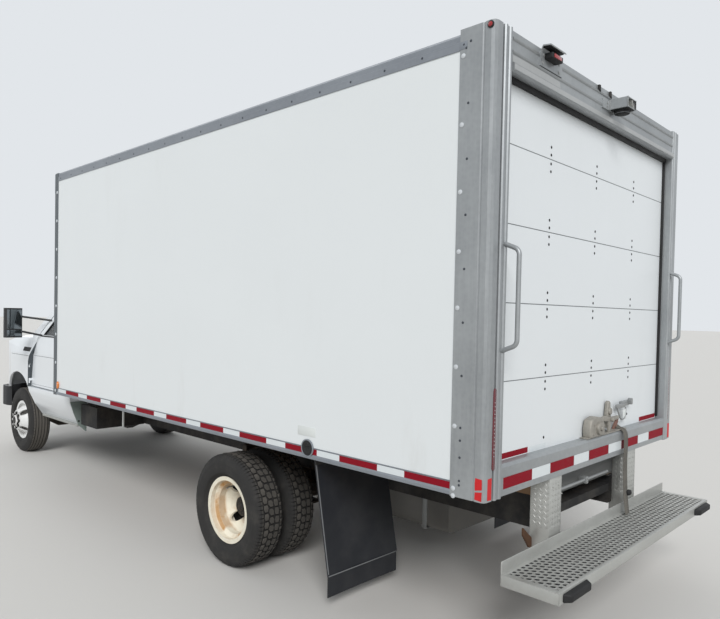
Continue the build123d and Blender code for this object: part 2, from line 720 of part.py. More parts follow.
outer_wheel_place = (rear_axle_x, dual_middle_y + dual_spacing / 2, tyre_radius)
inner_wheel_place = (rear_axle_x, dual_middle_y - dual_spacing / 2, tyre_radius)
hub_middle = (rear_axle_x, dual_middle_y, tyre_radius)
with BuildPart() as left_rear_rims:
    rim_and_disc(outer_wheel_place, -dish_depth, 1)
    rim_and_disc(inner_wheel_place, dish_depth, -1)
    turned(hub_middle, [
        (axle_tube_radius + running_gap, -90), (wheel_hub_radius, -90), (wheel_hub_radius, 88),
        (wheel_hub_radius - 10, 100), (0, 100), (0, 62), (axle_tube_radius + running_gap, 62)])
    studs(hub_middle, disc_thickness, 1)
left_rear_rims.part.label = "left_rear_rims"
export_step(left_rear_rims.part, "parts/left_rear_rims.step")
right_rear_rims = mirrored(left_rear_rims.part)
right_rear_rims.label = "right_rear_rims"
export_step(right_rear_rims, "parts/right_rear_rims.step")

with BuildPart() as left_rear_tyres:
    tyre(outer_wheel_place)
    tyre(inner_wheel_place)
left_rear_tyres.part.label = "left_rear_tyres"
export_step(left_rear_tyres.part, "parts/left_rear_tyres.step")
right_rear_tyres = mirrored(left_rear_tyres.part)
right_rear_tyres.label = "right_rear_tyres"
export_step(right_rear_tyres, "parts/right_rear_tyres.step")

# Steering knuckles: a yoke on the kingpin, the wheel's spindle and a steering arm
yoke_arm = 26
yoke_height = boss_half_height + running_gap
with BuildPart() as left_knuckle:
    with Locations((front_axle_x, kingpin_y, tyre_radius)):
        Cylinder(kingpin_radius, 2 * (yoke_height + yoke_arm))
    for arm_side in (-1, 1):
        arm_z = sorted((tyre_radius + arm_side * yoke_height,
                        tyre_radius + arm_side * (yoke_height + yoke_arm)))
        block((front_axle_x - 32, front_axle_x + 32),
              (kingpin_y - 30, yoke_web_y + yoke_web_thickness), arm_z)
    block((front_axle_x - 32, front_axle_x + 32), (yoke_web_y, yoke_web_y + yoke_web_thickness),
          (tyre_radius - yoke_height - yoke_arm, tyre_radius + yoke_height + yoke_arm))
    spindle_end = front_wheel_y + front_crown + 3
    with Locations(Location((front_axle_x, (yoke_web_y + 10 + spindle_end) / 2, tyre_radius),
                            (90, 0, 0))):
        Cylinder(spindle_radius, spindle_end - yoke_web_y - 10)
    block((front_axle_x - 160, front_axle_x - 32), (kingpin_y - 30, kingpin_y),
          (tyre_radius - yoke_height - yoke_arm, tyre_radius - yoke_height - 6))
left_knuckle.part.label = "left_knuckle"
export_step(left_knuckle.part, "parts/left_knuckle.step")
right_knuckle = mirrored(left_knuckle.part)
right_knuckle.label = "right_knuckle"
export_step(right_knuckle, "parts/right_knuckle.step")

# Cab outlines, x counted from the front axle
cowl_x = -300
cowl_height = 1395
header_x = -1090
header_height = 1995
roof_shoulder = header_height - 50
nose_x = front_overhang - 90
door_back_x = cab_behind_axle - 88
firewall_x = -330
cab_side_outline = [
    (-cab_behind_axle, 490), (-cab_behind_axle, cab_top - 30), (-cab_behind_axle + 40, cab_top - 5),
    (-cab_behind_axle + 240, cab_top), (header_x + 40, header_height + 55),
    (header_x, header_height), (cowl_x, cowl_height), (cowl_x, 490),
]
nose_side_outline = [
    (-500, 470), (-500, cowl_height - 8), (cowl_x, cowl_height - 8), (0, 1372), (300, 1318),
    (520, 1250), (630, 1185), (nose_x, 1120), (nose_x + 10, 900), (nose_x, 560), (nose_x - 30, 470),
]
cabin_half_section = [  # (y, z) from the rocker up to the middle of the roof
    (905, 490), (985, 620), (fender_skin_y, 740), (fender_skin_y, ledge_height),
    (door_skin_y, ledge_height + 4), (door_skin_y, 1150), (door_skin_y - 8, 1180),
    (door_skin_y - 20, belt_height), (800, roof_shoulder), (770, header_height),
    (700, header_height + 55), (560, cab_top),
]
nose_half_section = [
    (905, 470), (985, 620), (fender_skin_y, 740), (fender_skin_y, 1140), (fender_skin_y - 10, 1180),
    (fender_skin_y - 45, 1280), (930, 1340), (840, 1380), (400, 1410),
]
plan_half = [  # (x, y) from the back to the middle of the nose
    (-cab_behind_axle, fender_skin_y), (220, fender_skin_y), (420, 985), (560, 905), (640, 790),
    (nose_x, 600), (nose_x + 12, 0),
]
plan_full = [(front_axle_x + x, y) for x, y in plan_half]
plan_full = plan_full + [(x, -y) for x, y in reversed(plan_full[:-1])]


def cab_solid(inset, roof_drop):
    """The cabin's body between its outlines, moved in by an inset from its outer skin."""
    with BuildPart() as envelope:
        side_outline([(front_axle_x + x, z - roof_drop * (z > 1500)) for x, z in cab_side_outline],
                     -fender_skin_y - 5, fender_skin_y + 5, rounding=36, round_above=roof_shoulder)
        front_outline(both_sides([(y - inset, z - roof_drop * (z > 1900))
                                  for y, z in cabin_half_section]),
                      front_axle_x - cab_behind_axle - 1, front_axle_x + 1, Mode.INTERSECT,
                      rounding=80, round_above=roof_shoulder - 10)
    return envelope.part


def nose_solid(inset):
    """The front end's body between its outlines, moved in by an inset from its outer skin."""
    with BuildPart() as envelope:
        side_outline([(front_axle_x + x - inset * (x > 0), z - inset * (z > 1000))
                      for x, z in nose_side_outline], -fender_skin_y - 5, fender_skin_y + 5,
                     rounding=60, round_above=cowl_height - 300)
        front_outline(both_sides([(y - inset, z - inset * (z > 1200)) for y, z in nose_half_section]),
                      front_axle_x - cab_behind_axle, front_axle_x + front_overhang, Mode.INTERSECT,
                      rounding=50, round_above=1150)
        plan_outline([(x - inset * (x > front_axle_x), y - inset * (1 if y > 0 else -1 if y < 0 else 0))
                      for x, y in plan_full], 400, 1500, Mode.INTERSECT,
                     rounding=110, round_ahead=front_axle_x + 100)
    return envelope.part


cabin_outer = cab_solid(0, 0)
nose_outer = nose_solid(0)
nose_inner = nose_solid(skin_thickness)

# Door edges, x counted from the front axle
door_front_low_x = -332
door_front_belt_x = -470
frame_top = header_height - 70
door_outline = [
    (door_front_low_x, ledge_height + 8), (door_front_low_x, 1080), (door_front_belt_x, belt_height),
    (-520, belt_height + 55), (-1120, frame_top), (-door_back_x, frame_top + 10),
    (-door_back_x, ledge_height + 8),
]
door_opening = [
    (door_front_low_x + shut_gap, ledge_height), (door_front_low_x + shut_gap, 1080),
    (door_front_belt_x + shut_gap, belt_height + 2), (-512, belt_height + 65),
    (-1116, frame_top + 13), (-door_back_x - 16, frame_top + 23),
    (-door_back_x - 16, belt_height), (-door_back_x - 16, ledge_height),
]
window_outline = [
    (-590, belt_height + 25), (-1130, frame_top - 67), (-door_back_x + 62, frame_top - 57),
    (-door_back_x + 62, belt_height + 25),
]


def from_axle(points):
    """Side view points moved from the front axle to the truck's own frame."""
    return [(front_axle_x + x, z) for x, z in points]


# Hood hinges at the cowl: a fixed barrel and its pin on the shell, a turning barrel on the hood
hood_gap = 6
hood_pivot_x = cowl_x + 16
hood_pivot_z = 1374
hood_hinge_y = 702
hood_pin_end = hood_hinge_y + 2 * hinge_half

# Cab shell: floor, rockers, pillars, roof, back wall, firewall and the cover over the engine
cabin_inner_y = door_skin_y - cab_door_thickness
arch_centre = (front_axle_x, 0, arch_height)
with BuildPart() as cabin_room:
    side_outline(from_axle([
        (-cab_behind_axle + 40, cab_floor_height), (-cab_behind_axle + 40, cab_top - 60),
        (header_x - 10, cab_top - 70), (header_x - 50, header_height - 30), (cowl_x - 90, cowl_height - 30),
        (-350, cowl_height - 60), (-350, 910), (-500, 755), (-500, cab_floor_height)]), -1100, 1100)
    front_outline(both_sides([
        (cabin_inner_y, cab_floor_height - 1), (cabin_inner_y, belt_height), (745, roof_shoulder), (700, header_height + 15),
        (500, cab_top - 20)]), cab_back_x, front_axle_x, Mode.INTERSECT)
windscreen_axis = Plane(origin=(front_axle_x + cowl_x, 0, cowl_height),
                        x_dir=(0, 1, 0),
                        z_dir=(header_height - cowl_height, 0, cowl_x - header_x))
windscreen_slope = ((header_height - cowl_height) ** 2 + (cowl_x - header_x) ** 2) ** 0.5
windscreen_outline = [
    (-870, 55), (870, 55), (720, windscreen_slope - 45), (-720, windscreen_slope - 45),
]
engine_gap = 15
cover_thickness = 25
rocker_inner_y = 880
with BuildPart() as cab_shell:
    add(cabin_outer)
    add(cabin_room.part, mode=Mode.SUBTRACT)
    side_outline(from_axle([(-465, 400), (-465, 740), (-310, 900), (0, 900), (0, 400)]),
                 -cabin_inner_y, cabin_inner_y, Mode.SUBTRACT)
    with Locations(Location(arch_centre, (90, 0, 0))):
        Cylinder(arch_radius, 2400, mode=Mode.SUBTRACT)
    block((front_axle_x - arch_radius, front_axle_x), (-1100, 1100), (400, arch_height), Mode.SUBTRACT)
    block((cab_back_x - 1, front_axle_x), (-rocker_inner_y, rocker_inner_y),
          (400, frame_top_front), Mode.SUBTRACT)
    block((engine_back_x - engine_gap - cover_thickness, front_axle_x - 340),
          (-engine_half_width - engine_gap - cover_thickness,
           engine_half_width + engine_gap + cover_thickness),
          (frame_top_front, engine_top + engine_gap + cover_thickness))
    block((engine_back_x - engine_gap, front_axle_x),
          (-engine_half_width - engine_gap, engine_half_width + engine_gap),
          (400, engine_top + engine_gap), Mode.SUBTRACT)
    for opening, reach_in in ((door_opening, cabin_inner_y), (door_opening[2:-1], 700)):
        side_outline(from_axle(opening), -1100, -reach_in, Mode.SUBTRACT)
        side_outline(from_axle(opening), reach_in, 1100, Mode.SUBTRACT)
    with BuildSketch(windscreen_axis.offset(-150)):
        with BuildLine():
            Polyline(*windscreen_outline, close=True)
        make_face()
    extrude(amount=200, mode=Mode.SUBTRACT)
    for hinge_side in (-1, 1):
        fixed_y = sorted((hinge_side * hood_hinge_y,
                          hinge_side * (hood_hinge_y + hinge_half - running_gap)))
        block((front_axle_x + cowl_x, front_axle_x + hood_pivot_x), fixed_y,
              (hood_pivot_z - 5, hood_pivot_z + 5))
        with Locations(Location((front_axle_x + hood_pivot_x, sum(fixed_y) / 2, hood_pivot_z),
                                (90, 0, 0))):
            Cylinder(hinge_radius, fixed_y[1] - fixed_y[0])
        with Locations(Location((front_axle_x + hood_pivot_x,
                                 hinge_side * (hood_hinge_y + hood_pin_end) / 2, hood_pivot_z),
                                (90, 0, 0))):
            Cylinder(pin_radius, hood_pin_end - hood_hinge_y)
cab_shell.part.label = "cab_shell"
export_step(cab_shell.part, "parts/cab_shell.step")

# Windscreen, a flat pane set in the front opening of the shell
with BuildPart() as windscreen:
    with BuildSketch(windscreen_axis.offset(-20)):
        with BuildLine():
            Polyline(*windscreen_outline, close=True)
        make_face()
    extrude(amount=glass_thickness)
windscreen.part.label = "windscreen"
export_step(windscreen.part, "parts/windscreen.step")

# Hood, hinged at the cowl, with a turned down nose lip
hood_back_x = hood_pivot_x
hood_half_back = 800
hood_half_front = 690
hood_lip_height = 1130
with BuildPart() as hood:
    add(nose_outer)
    add(nose_inner, mode=Mode.SUBTRACT)
    plan_outline([(front_axle_x + hood_back_x, -hood_half_back),
                  (front_axle_x + nose_x + 30, -hood_half_front),
                  (front_axle_x + nose_x + 30, hood_half_front),
                  (front_axle_x + hood_back_x, hood_half_back)],
                 hood_lip_height, 1500, Mode.INTERSECT)
    for hinge_side in (-1, 1):
        notch_y = sorted((hinge_side * (hood_hinge_y - hood_gap),
                          hinge_side * (hood_hinge_y + hinge_half)))
        block((front_axle_x + hood_pivot_x - 1, front_axle_x + hood_pivot_x + hinge_clearance + 4),
              notch_y, (hood_pivot_z - 40, hood_pivot_z + 40), Mode.SUBTRACT)
        with Locations(Location((front_axle_x + hood_pivot_x,
                                 hinge_side * (hood_hinge_y + 1.5 * hinge_half), hood_pivot_z),
                                (90, 0, 0))):
            Cylinder(hinge_radius, hinge_half)
            Cylinder(pin_radius + running_gap, hinge_half + 10, mode=Mode.SUBTRACT)
hood.part.label = "hood"
export_step(hood.part, "parts/hood.step")

# Fenders with round wheel arches; each carries the fixed half and the pin of two door hinges
hinge_x = front_axle_x + door_front_low_x + shut_gap / 2
hinge_y = door_skin_y + 23
hinge_heights = (860, 1040)
fender_back_low_x = door_front_low_x + shut_gap
fender_back_belt_x = door_front_belt_x + shut_gap
front_panel_x = 590
nose_bottom = 728
with BuildPart() as left_fender:
    add(nose_outer)
    add(nose_inner, mode=Mode.SUBTRACT)
    side_outline(from_axle([
        (fender_back_low_x, ledge_height), (fender_back_low_x, 1080), (fender_back_belt_x, belt_height),
        (fender_back_belt_x, 1500), (front_panel_x, 1500),
        (front_panel_x, nose_bottom), (fender_back_low_x, nose_bottom)]), 0, 1100, Mode.INTERSECT)
    plan_outline([(front_axle_x + hood_back_x - 300, -10),
                  (front_axle_x + nose_x + 30, -10),
                  (front_axle_x + nose_x + 30, hood_half_front + hood_gap),
                  (front_axle_x + hood_back_x, hood_half_back + hood_gap),
                  (front_axle_x + hood_back_x - 300, hood_half_back + hood_gap)],
                 400, 1500, Mode.SUBTRACT)
    block((front_axle_x - 500, front_axle_x), (0, 1100), (400, ledge_height), Mode.SUBTRACT)
    with Locations(Location(arch_centre, (90, 0, 0))):
        Cylinder(arch_radius, 2400, mode=Mode.SUBTRACT)
    block((front_axle_x - arch_radius, front_axle_x + arch_radius), (0, 1100), (400, arch_height),
          Mode.SUBTRACT)
    add(cabin_outer, mode=Mode.SUBTRACT)
    block((front_axle_x + fender_back_low_x, front_axle_x + fender_back_low_x + skin_thickness),
          (door_skin_y, fender_skin_y - skin_thickness), (ledge_height, 1080))
    for hinge_height in hinge_heights:
        with Locations((hinge_x, hinge_y, hinge_height + hinge_half / 2)):
            Cylinder(hinge_clearance, hinge_half + 10, mode=Mode.SUBTRACT)
        with Locations((hinge_x, hinge_y, hinge_height - hinge_half / 2)):
            Cylinder(hinge_radius, hinge_half)
        with Locations((hinge_x, hinge_y, hinge_height)):
            Cylinder(pin_radius, 2 * hinge_half)
left_fender.part.label = "left_fender"
export_step(left_fender.part, "parts/left_fender.step")
right_fender = mirrored(left_fender.part)
right_fender.label = "right_fender"
export_step(right_fender, "parts/right_fender.step")

# Front panel with the grille opening, its cross bars and the two lamp openings
grille_half = 470
grille_low = 785
grille_high = 1075
bar_count = 5
lamp_half_width = 120
lamp_y = 640
bar_pitch = (grille_high - grille_low) / (bar_count + 1)
bar_height = 16
with BuildPart() as front_panel:
    add(nose_outer)
    add(nose_inner, mode=Mode.SUBTRACT)
    side_outline(from_axle([(front_panel_x, nose_bottom), (front_panel_x, hood_lip_height - hood_gap),
                            (nose_x + 40, hood_lip_height - hood_gap), (nose_x + 40, nose_bottom)]),
                 -1100, 1100, Mode.INTERSECT)
    block((front_axle_x + 500, front_end_x), (-grille_half, grille_half), (grille_low, grille_high),
          Mode.SUBTRACT)
    for lamp_side in (-1, 1):
        block((front_axle_x + 500, front_end_x),
              (lamp_side * lamp_y - lamp_half_width, lamp_side * lamp_y + lamp_half_width),
              (grille_low + 60, grille_high), Mode.SUBTRACT)
    for bar_number in range(1, bar_count + 1):
        bar_z = grille_low + bar_number * bar_pitch
        block((front_axle_x + nose_x - 30, front_axle_x + nose_x), (-grille_half, grille_half),
              (bar_z - bar_height / 2, bar_z + bar_height / 2))
front_panel.part.label = "front_panel"
export_step(front_panel.part, "parts/front_panel.step")

# Front bumper, wrapped round the corners
bumper_low = 485
bumper_high = 720
bumper_plate = 40
with BuildPart() as front_bumper:
    with BuildSketch(Plane.XY.offset(bumper_low)) as bumper_plan:
        with Locations((front_end_x - 185, 0)):
            RectangleRounded(370, 1960, 150)
        with Locations((front_end_x - 185 - bumper_plate, 0)):
            RectangleRounded(370, 1960 - 2 * bumper_plate, 150 - bumper_plate, mode=Mode.SUBTRACT)
        with Locations((front_end_x - 500, 0)):
            Rectangle(360, 2100, mode=Mode.SUBTRACT)
    extrude(amount=bumper_high - bumper_low)
    for arm_side in (-1, 1):
        block((frame_front_x, front_end_x - bumper_plate),
              sorted((arm_side * (frame_half_width - frame_flange), arm_side * frame_half_width)),
              (bumper_low + 5, frame_top_front - 20))
front_bumper.part.label = "front_bumper"
export_step(front_bumper.part, "parts/front_bumper.step")

# Lamps: head lamps, a tall strip in each rear post, and round markers on posts and front corners
strip_low = 986
strip_high = 1361
with BuildPart() as lamps:
    add(nose_outer)
    add(nose_inner, mode=Mode.SUBTRACT)
    block((front_axle_x + front_panel_x, front_end_x),
          (lamp_y - lamp_half_width, lamp_y + lamp_half_width), (grille_low + 60, grille_high),
          Mode.INTERSECT)
    block((box_back_x + 2, box_back_x + post_groove),
          (half_width - 76, half_width - 62), (strip_low, strip_high))
    with Locations(Location((box_back_x + 36, half_width + 4, post_top - 21), (90, 0, 0))):
        Cylinder(12, 8)
    with Locations(Location((wall_front_x - 40, half_width - panel_inset + 8, panel_bottom + 24),
                            (90, 0, 0))):
        Cylinder(24, 16)
    mirror(about=Plane.XZ)
lamps.part.label = "lamps"
export_step(lamps.part, "parts/lamps.step")

# Doors: hollow panels cut from the cab's own skin, with a slimmer frame round the window
window_frame = 36
pillar_lean = (door_skin_y - 20 - 800) / (roof_shoulder - belt_height)
frame_low_y = door_skin_y - 20 - window_frame
with BuildPart() as left_door:
    add(cabin_outer)
    add(cabin_room.part, mode=Mode.SUBTRACT)
    side_outline(from_axle(door_outline), 300, 1100, Mode.INTERSECT)
    side_outline(from_axle(window_outline), 300, 1100, Mode.SUBTRACT)
    block((cab_back_x, front_axle_x), (0, cabin_inner_y), (cab_floor_height, belt_height + 20),
          Mode.SUBTRACT)
    front_outline([(frame_low_y - pillar_lean * 20, belt_height + 20), (0, belt_height + 20),
                   (0, cab_top), (frame_low_y - pillar_lean * 640, belt_height + 640)],
                  cab_back_x, front_axle_x, Mode.SUBTRACT)
    for hinge_height in hinge_heights:
        barrel_z = (hinge_height + running_gap, hinge_height + hinge_half)
        block((hinge_x - 18, hinge_x), (door_skin_y - 30, hinge_y), barrel_z)
        with Locations((hinge_x, hinge_y, sum(barrel_z) / 2)):
            Cylinder(hinge_radius, barrel_z[1] - barrel_z[0])
            Cylinder(pin_radius + running_gap, 2 * hinge_half, mode=Mode.SUBTRACT)
left_door.part.label = "left_door"
export_step(left_door.part, "parts/left_door.step")
right_door = mirrored(left_door.part)
right_door.label = "right_door"
export_step(right_door, "parts/right_door.step")

# Door glass, a flat pane in the middle of the window frame
glass_outer = cab_solid(14, 0)
glass_inner = cab_solid(14 + glass_thickness, 0)
with BuildPart() as left_door_glass:
    add(glass_outer)
    add(glass_inner, mode=Mode.SUBTRACT)
    side_outline(from_axle(window_outline), 300, 1100, Mode.INTERSECT)
left_door_glass.part.label = "left_door_glass"
export_step(left_door_glass.part, "parts/left_door_glass.step")
right_door_glass = mirrored(left_door_glass.part)
right_door_glass.label = "right_door_glass"
export_step(right_door_glass, "parts/right_door_glass.step")

# Door mirrors: a tall head on two arms from the door's front corner
mirror_x = -480
mirror_inner_y = 1150
mirror_outer_y = 1326
mirror_low = 1357
mirror_high = 1678
arm_radius = 11
arm_table = [  # height at the head, then the foot inside the door frame: x, y, z
    (1590, -722, 890, 1545),
    (1430, -560, 930, 1372),
]
with BuildPart() as left_mirror:
    with BuildSketch(Plane.XY.offset(mirror_low)):
        with Locations((front_axle_x + mirror_x, (mirror_inner_y + mirror_outer_y) / 2)):
            RectangleRounded(90, mirror_outer_y - mirror_inner_y, 25)
    extrude(amount=mirror_high - mirror_low)
    for head_z, foot_x, foot_y, foot_z in arm_table:
        arm_start = Vector(front_axle_x + mirror_x, mirror_inner_y + 30, head_z)
        arm_end = Vector(front_axle_x + foot_x, foot_y, foot_z)
        with BuildLine():
            Line(arm_start, arm_end)
        with BuildSketch(Plane(arm_start, z_dir=arm_end - arm_start)):
            Circle(arm_radius)
        sweep()
    add(cabin_outer, mode=Mode.SUBTRACT)
left_mirror.part.label = "left_mirror"
export_step(left_mirror.part, "parts/left_mirror.step")
right_mirror = mirrored(left_mirror.part)
right_mirror.label = "right_mirror"
export_step(right_mirror, "parts/right_mirror.step")

# Two seats on the cab floor, each with a cushion, a leaning back and a head rest
seat_inner_y = 350
seat_outer_y = 860
seat_back_x = 93 - cab_behind_axle
seat_outline = [
    (seat_back_x + 80, cab_floor_height), (seat_back_x + 600, cab_floor_height),
    (seat_back_x + 640, 790), (seat_back_x + 635, 850), (seat_back_x + 580, 870),
    (seat_back_x + 220, 850), (seat_back_x + 90, 1450), (seat_back_x + 105, 1580),
    (seat_back_x + 80, 1640), (seat_back_x + 20, 1620), (seat_back_x, 1450),
    (seat_back_x + 80, 850),
]
with BuildPart() as seats:
    side_outline(from_axle(seat_outline), seat_inner_y, seat_outer_y)
    block((cab_back_x, front_axle_x), (seat_inner_y, seat_inner_y + 140), (1460, 1700), Mode.SUBTRACT)
    block((cab_back_x, front_axle_x), (seat_outer_y - 140, seat_outer_y), (1460, 1700), Mode.SUBTRACT)
    mirror(about=Plane.XZ)
seats.part.label = "seats"
export_step(seats.part, "parts/seats.step")

# Dashboard on the firewall, with the steering column and wheel on the left
steering_y = 450
steering_x = -745
steering_z = 1270
steering_radius = 195
column_lean = 25
with BuildPart() as dashboard:
    side_outline(from_axle([(-350, 1125), (-500, 1125), (-560, 1180), (-560, 1290), (-520, 1325),
                            (-350, 1320)]), -890, 890)
    wheel_seat = Plane(Location((front_axle_x + steering_x, steering_y, steering_z),
                                (0, -90 + column_lean, 0)))
    with Locations(wheel_seat.location):
        Cylinder(45, 40)
        Box(2 * steering_radius, 34, 16)
        Box(34, 2 * steering_radius, 16)
        with Locations((0, 0, -160)):
            Cylinder(32, 320)
    with BuildSketch(Plane(wheel_seat.origin, x_dir=wheel_seat.x_dir, z_dir=wheel_seat.y_dir)) as grip:
        with Locations((steering_radius, 0)):
            RegularPolygon(15, 10)
    revolve(grip.sketch, axis=Axis(wheel_seat.origin, wheel_seat.z_dir))
dashboard.part.label = "dashboard"
export_step(dashboard.part, "parts/dashboard.step")
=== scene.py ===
import math
from contextlib import contextmanager

import bpy
from mathutils import Matrix, Vector


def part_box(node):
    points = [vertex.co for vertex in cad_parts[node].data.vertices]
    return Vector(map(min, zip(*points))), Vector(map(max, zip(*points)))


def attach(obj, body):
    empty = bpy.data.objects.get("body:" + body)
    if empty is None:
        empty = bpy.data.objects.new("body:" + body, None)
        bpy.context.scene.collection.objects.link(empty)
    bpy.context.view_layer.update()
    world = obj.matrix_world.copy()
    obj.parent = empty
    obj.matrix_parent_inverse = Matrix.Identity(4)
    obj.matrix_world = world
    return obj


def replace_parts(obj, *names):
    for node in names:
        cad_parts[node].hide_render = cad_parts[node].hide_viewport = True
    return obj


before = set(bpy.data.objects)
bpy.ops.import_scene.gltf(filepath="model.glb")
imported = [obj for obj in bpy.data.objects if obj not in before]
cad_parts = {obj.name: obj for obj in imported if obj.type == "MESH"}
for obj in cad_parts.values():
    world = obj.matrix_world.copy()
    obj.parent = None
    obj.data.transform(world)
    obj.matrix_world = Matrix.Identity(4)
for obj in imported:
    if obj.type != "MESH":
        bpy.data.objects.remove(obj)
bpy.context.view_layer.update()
print("frame loaded")


# small modelling tools, all in metres in the truck's own frame

origin, forward, backward = (0, 0, 0), (1, 0, 0), (-1, 0, 0)
leftward, skyward = (0, 1, 0), (0, 0, 1)
mirrorY = Matrix.Scale(-1, 4, leftward)


def onlySelect(*objs):
    if bpy.context.object and bpy.context.object.mode != "OBJECT":
        bpy.ops.object.mode_set(mode="OBJECT")
    bpy.ops.object.select_all(action="DESELECT")
    for obj in objs:
        obj.select_set(True)
    if objs:
        bpy.context.view_layer.objects.active = objs[0]


@contextmanager
def editing(obj, test=None):
    # edit mode with everything chosen, or only the faces whose middle and normal pass the test
    onlySelect(obj)
    if test:
        for element in (*obj.data.vertices, *obj.data.edges):
            element.select = False
        for face in obj.data.polygons:
            face.select = bool(test(face.center, face.normal))
        bpy.context.tool_settings.mesh_select_mode = (False, False, True)
    bpy.ops.object.mode_set(mode="EDIT")
    if not test:
        bpy.ops.mesh.select_all(action="SELECT")
    yield
    bpy.ops.object.mode_set(mode="OBJECT")


def pushed(step):
    bpy.ops.mesh.extrude_region_move(TRANSFORM_OT_translate={"value": step})


def bakePlace(obj):
    onlySelect(obj)
    bpy.ops.object.transform_apply(location=True, rotation=True, scale=True)
    return obj


def stood(obj, centre, axis):
    # a piece modelled along Z, turned to its axis and moved to its place
    obj.rotation_mode = "QUATERNION"
    obj.rotation_quaternion = Vector(skyward).rotation_difference(Vector(axis))
    obj.location = centre
    return bakePlace(obj)


def outwards(obj):
    with editing(obj):
        bpy.ops.mesh.remove_doubles(threshold=0.00001)
        bpy.ops.mesh.normals_make_consistent(inside=False)
    return obj


def smooth(obj, angle=35):
    onlySelect(obj)
    bpy.ops.object.shade_smooth_by_angle(angle=math.radians(angle))
    return obj


def modified(obj, kind, **settings):
    # a modifier added, set and applied
    onlySelect(obj)
    modifier = obj.modifiers.new(kind.lower(), kind)
    for key, value in settings.items():
        setattr(modifier, key, value)
    bpy.ops.object.modifier_apply(modifier=modifier.name)
    return obj


def bevelled(obj, width, segments=2, angle=30):
    return modified(obj, "BEVEL", width=width, segments=segments, limit_method="ANGLE",
                    angle_limit=math.radians(angle), harden_normals=False)


def box(name, low, high, edge=0.0, segments=2, start=origin):
    # a block between two corners counted from a start, with its edges rounded
    onlySelect()
    middle = [(a + b) / 2 + s for a, b, s in zip(low, high, start)]
    bpy.ops.mesh.primitive_cube_add(size=1, location=middle)
    obj = bpy.context.object
    obj.name = name
    obj.scale = [abs(b - a) for a, b in zip(low, high)]
    bakePlace(obj)
    if edge:
        bevelled(obj, edge, segments)
    return smooth(obj)


def drum(name, centre, axis, radius, depth, sides=24, edge=0.0, segments=2):
    # a round bar about its middle, with its rims rounded
    onlySelect()
    bpy.ops.mesh.primitive_cone_add(vertices=sides, radius1=radius, radius2=radius, depth=depth)
    obj = bpy.context.object
    obj.name = name
    stood(obj, centre, axis)
    if edge:
        bevelled(obj, edge, segments, 40)
    return smooth(obj)


def dome(name, centre, axis, radius, height, sides=12):
    # a bolt or rivet head: a short drum whose top is inset and raised twice
    onlySelect()
    bpy.ops.mesh.primitive_cylinder_add(vertices=sides, radius=radius, depth=height * 0.6,
                                        location=(0, 0, height * 0.3))
    obj = bpy.context.object
    obj.name = name
    for share in (0.3, 0.35):
        top = max(v.co.z for v in obj.data.vertices)
        with editing(obj, lambda c, n: n.z > 0.9 and c.z > top - 0.00001):
            bpy.ops.mesh.inset(thickness=radius * share)
            bpy.ops.transform.translate(value=(0, 0, height * 0.2))
    return smooth(stood(obj, centre, axis), 60)


def line(name, points, closed=False):
    # a vertex drawn out from point to point
    onlySelect()
    bpy.ops.mesh.primitive_plane_add(size=0.01, location=origin)
    obj = bpy.context.object
    obj.name = name
    bpy.ops.object.mode_set(mode="EDIT")
    bpy.ops.mesh.select_mode(type="VERT")
    bpy.ops.mesh.select_all(action="SELECT")
    bpy.ops.mesh.merge(type="CENTER")
    bpy.ops.transform.translate(value=points[0])
    for here, there in zip(points, points[1:]):
        step = Vector(there) - Vector(here)
        bpy.ops.mesh.extrude_vertices_move(TRANSFORM_OT_translate={"value": step})
    if closed:
        bpy.ops.mesh.select_all(action="SELECT")
        bpy.ops.mesh.edge_face_add()
    bpy.ops.object.mode_set(mode="OBJECT")
    return obj


def at(start, x=0.0, y=0.0, z=0.0):
    return (start[0] + x, start[1] + y, start[2] + z)


def route(start, places):
    return [at(start, *place) for place in places]


def flatOn(axis, place, pairs, start=origin):
    # flat points: each pair fills two axes in order, and the third keeps its place
    return route(start, [{"x": (place, a, b), "y": (a, place, b), "z": (a, b, place)}[axis]
                         for a, b in pairs])


def plate(name, points, push, edge=0.0, segments=1):
    # an outline filled and pushed to a solid
    obj = line(name, points, closed=True)
    with editing(obj):
        pushed(push)
    outwards(obj)
    if edge:
        bevelled(obj, edge, segments)
    return smooth(obj)


def spun(name, points, centre, axis, steps=64, angle=30):
    # an outline turned a full round about an axis
    obj = line(name, points)
    with editing(obj):
        bpy.ops.mesh.spin(steps=steps, angle=2 * math.pi, center=centre, axis=axis)
    return smooth(outwards(obj), angle)


def curveMesh(name, points, smoothPath=True, steps=6, radius=0.0, sides=0):
    # a curve through a path, made a mesh before it is used
    curve = bpy.data.curves.new(name, "CURVE")
    curve.dimensions = "3D"
    spline = curve.splines.new("NURBS" if smoothPath else "POLY")
    spline.points.add(len(points) - 1)
    for point, place in zip(spline.points, points):
        point.co = (*place, 1)
    if smoothPath:
        spline.order_u = 3
        spline.use_endpoint_u = True
        spline.resolution_u = steps
    if radius:
        curve.bevel_depth = radius
        curve.bevel_resolution = sides // 2
        curve.use_fill_caps = True
    obj = bpy.data.objects.new(name, curve)
    bpy.context.collection.objects.link(obj)
    onlySelect(obj)
    bpy.ops.object.convert(target="MESH")
    return bpy.context.object


def tube(name, points, radius, smoothPath=True, sides=6):
    return smooth(outwards(curveMesh(name, points, smoothPath, 6, radius, sides)), 50)


def ribbon(name, points, width, columns=1):
    # a path pushed sideways to a strip, in one or more equal columns
    obj = line(name, points)
    with editing(obj):
        for column in range(columns):
            pushed((0, width / columns, 0))
    return obj


def thickened(obj, thick):
    # a sheet made a solid, half to each side
    return modified(outwards(obj), "SOLIDIFY", thickness=thick, offset=0)


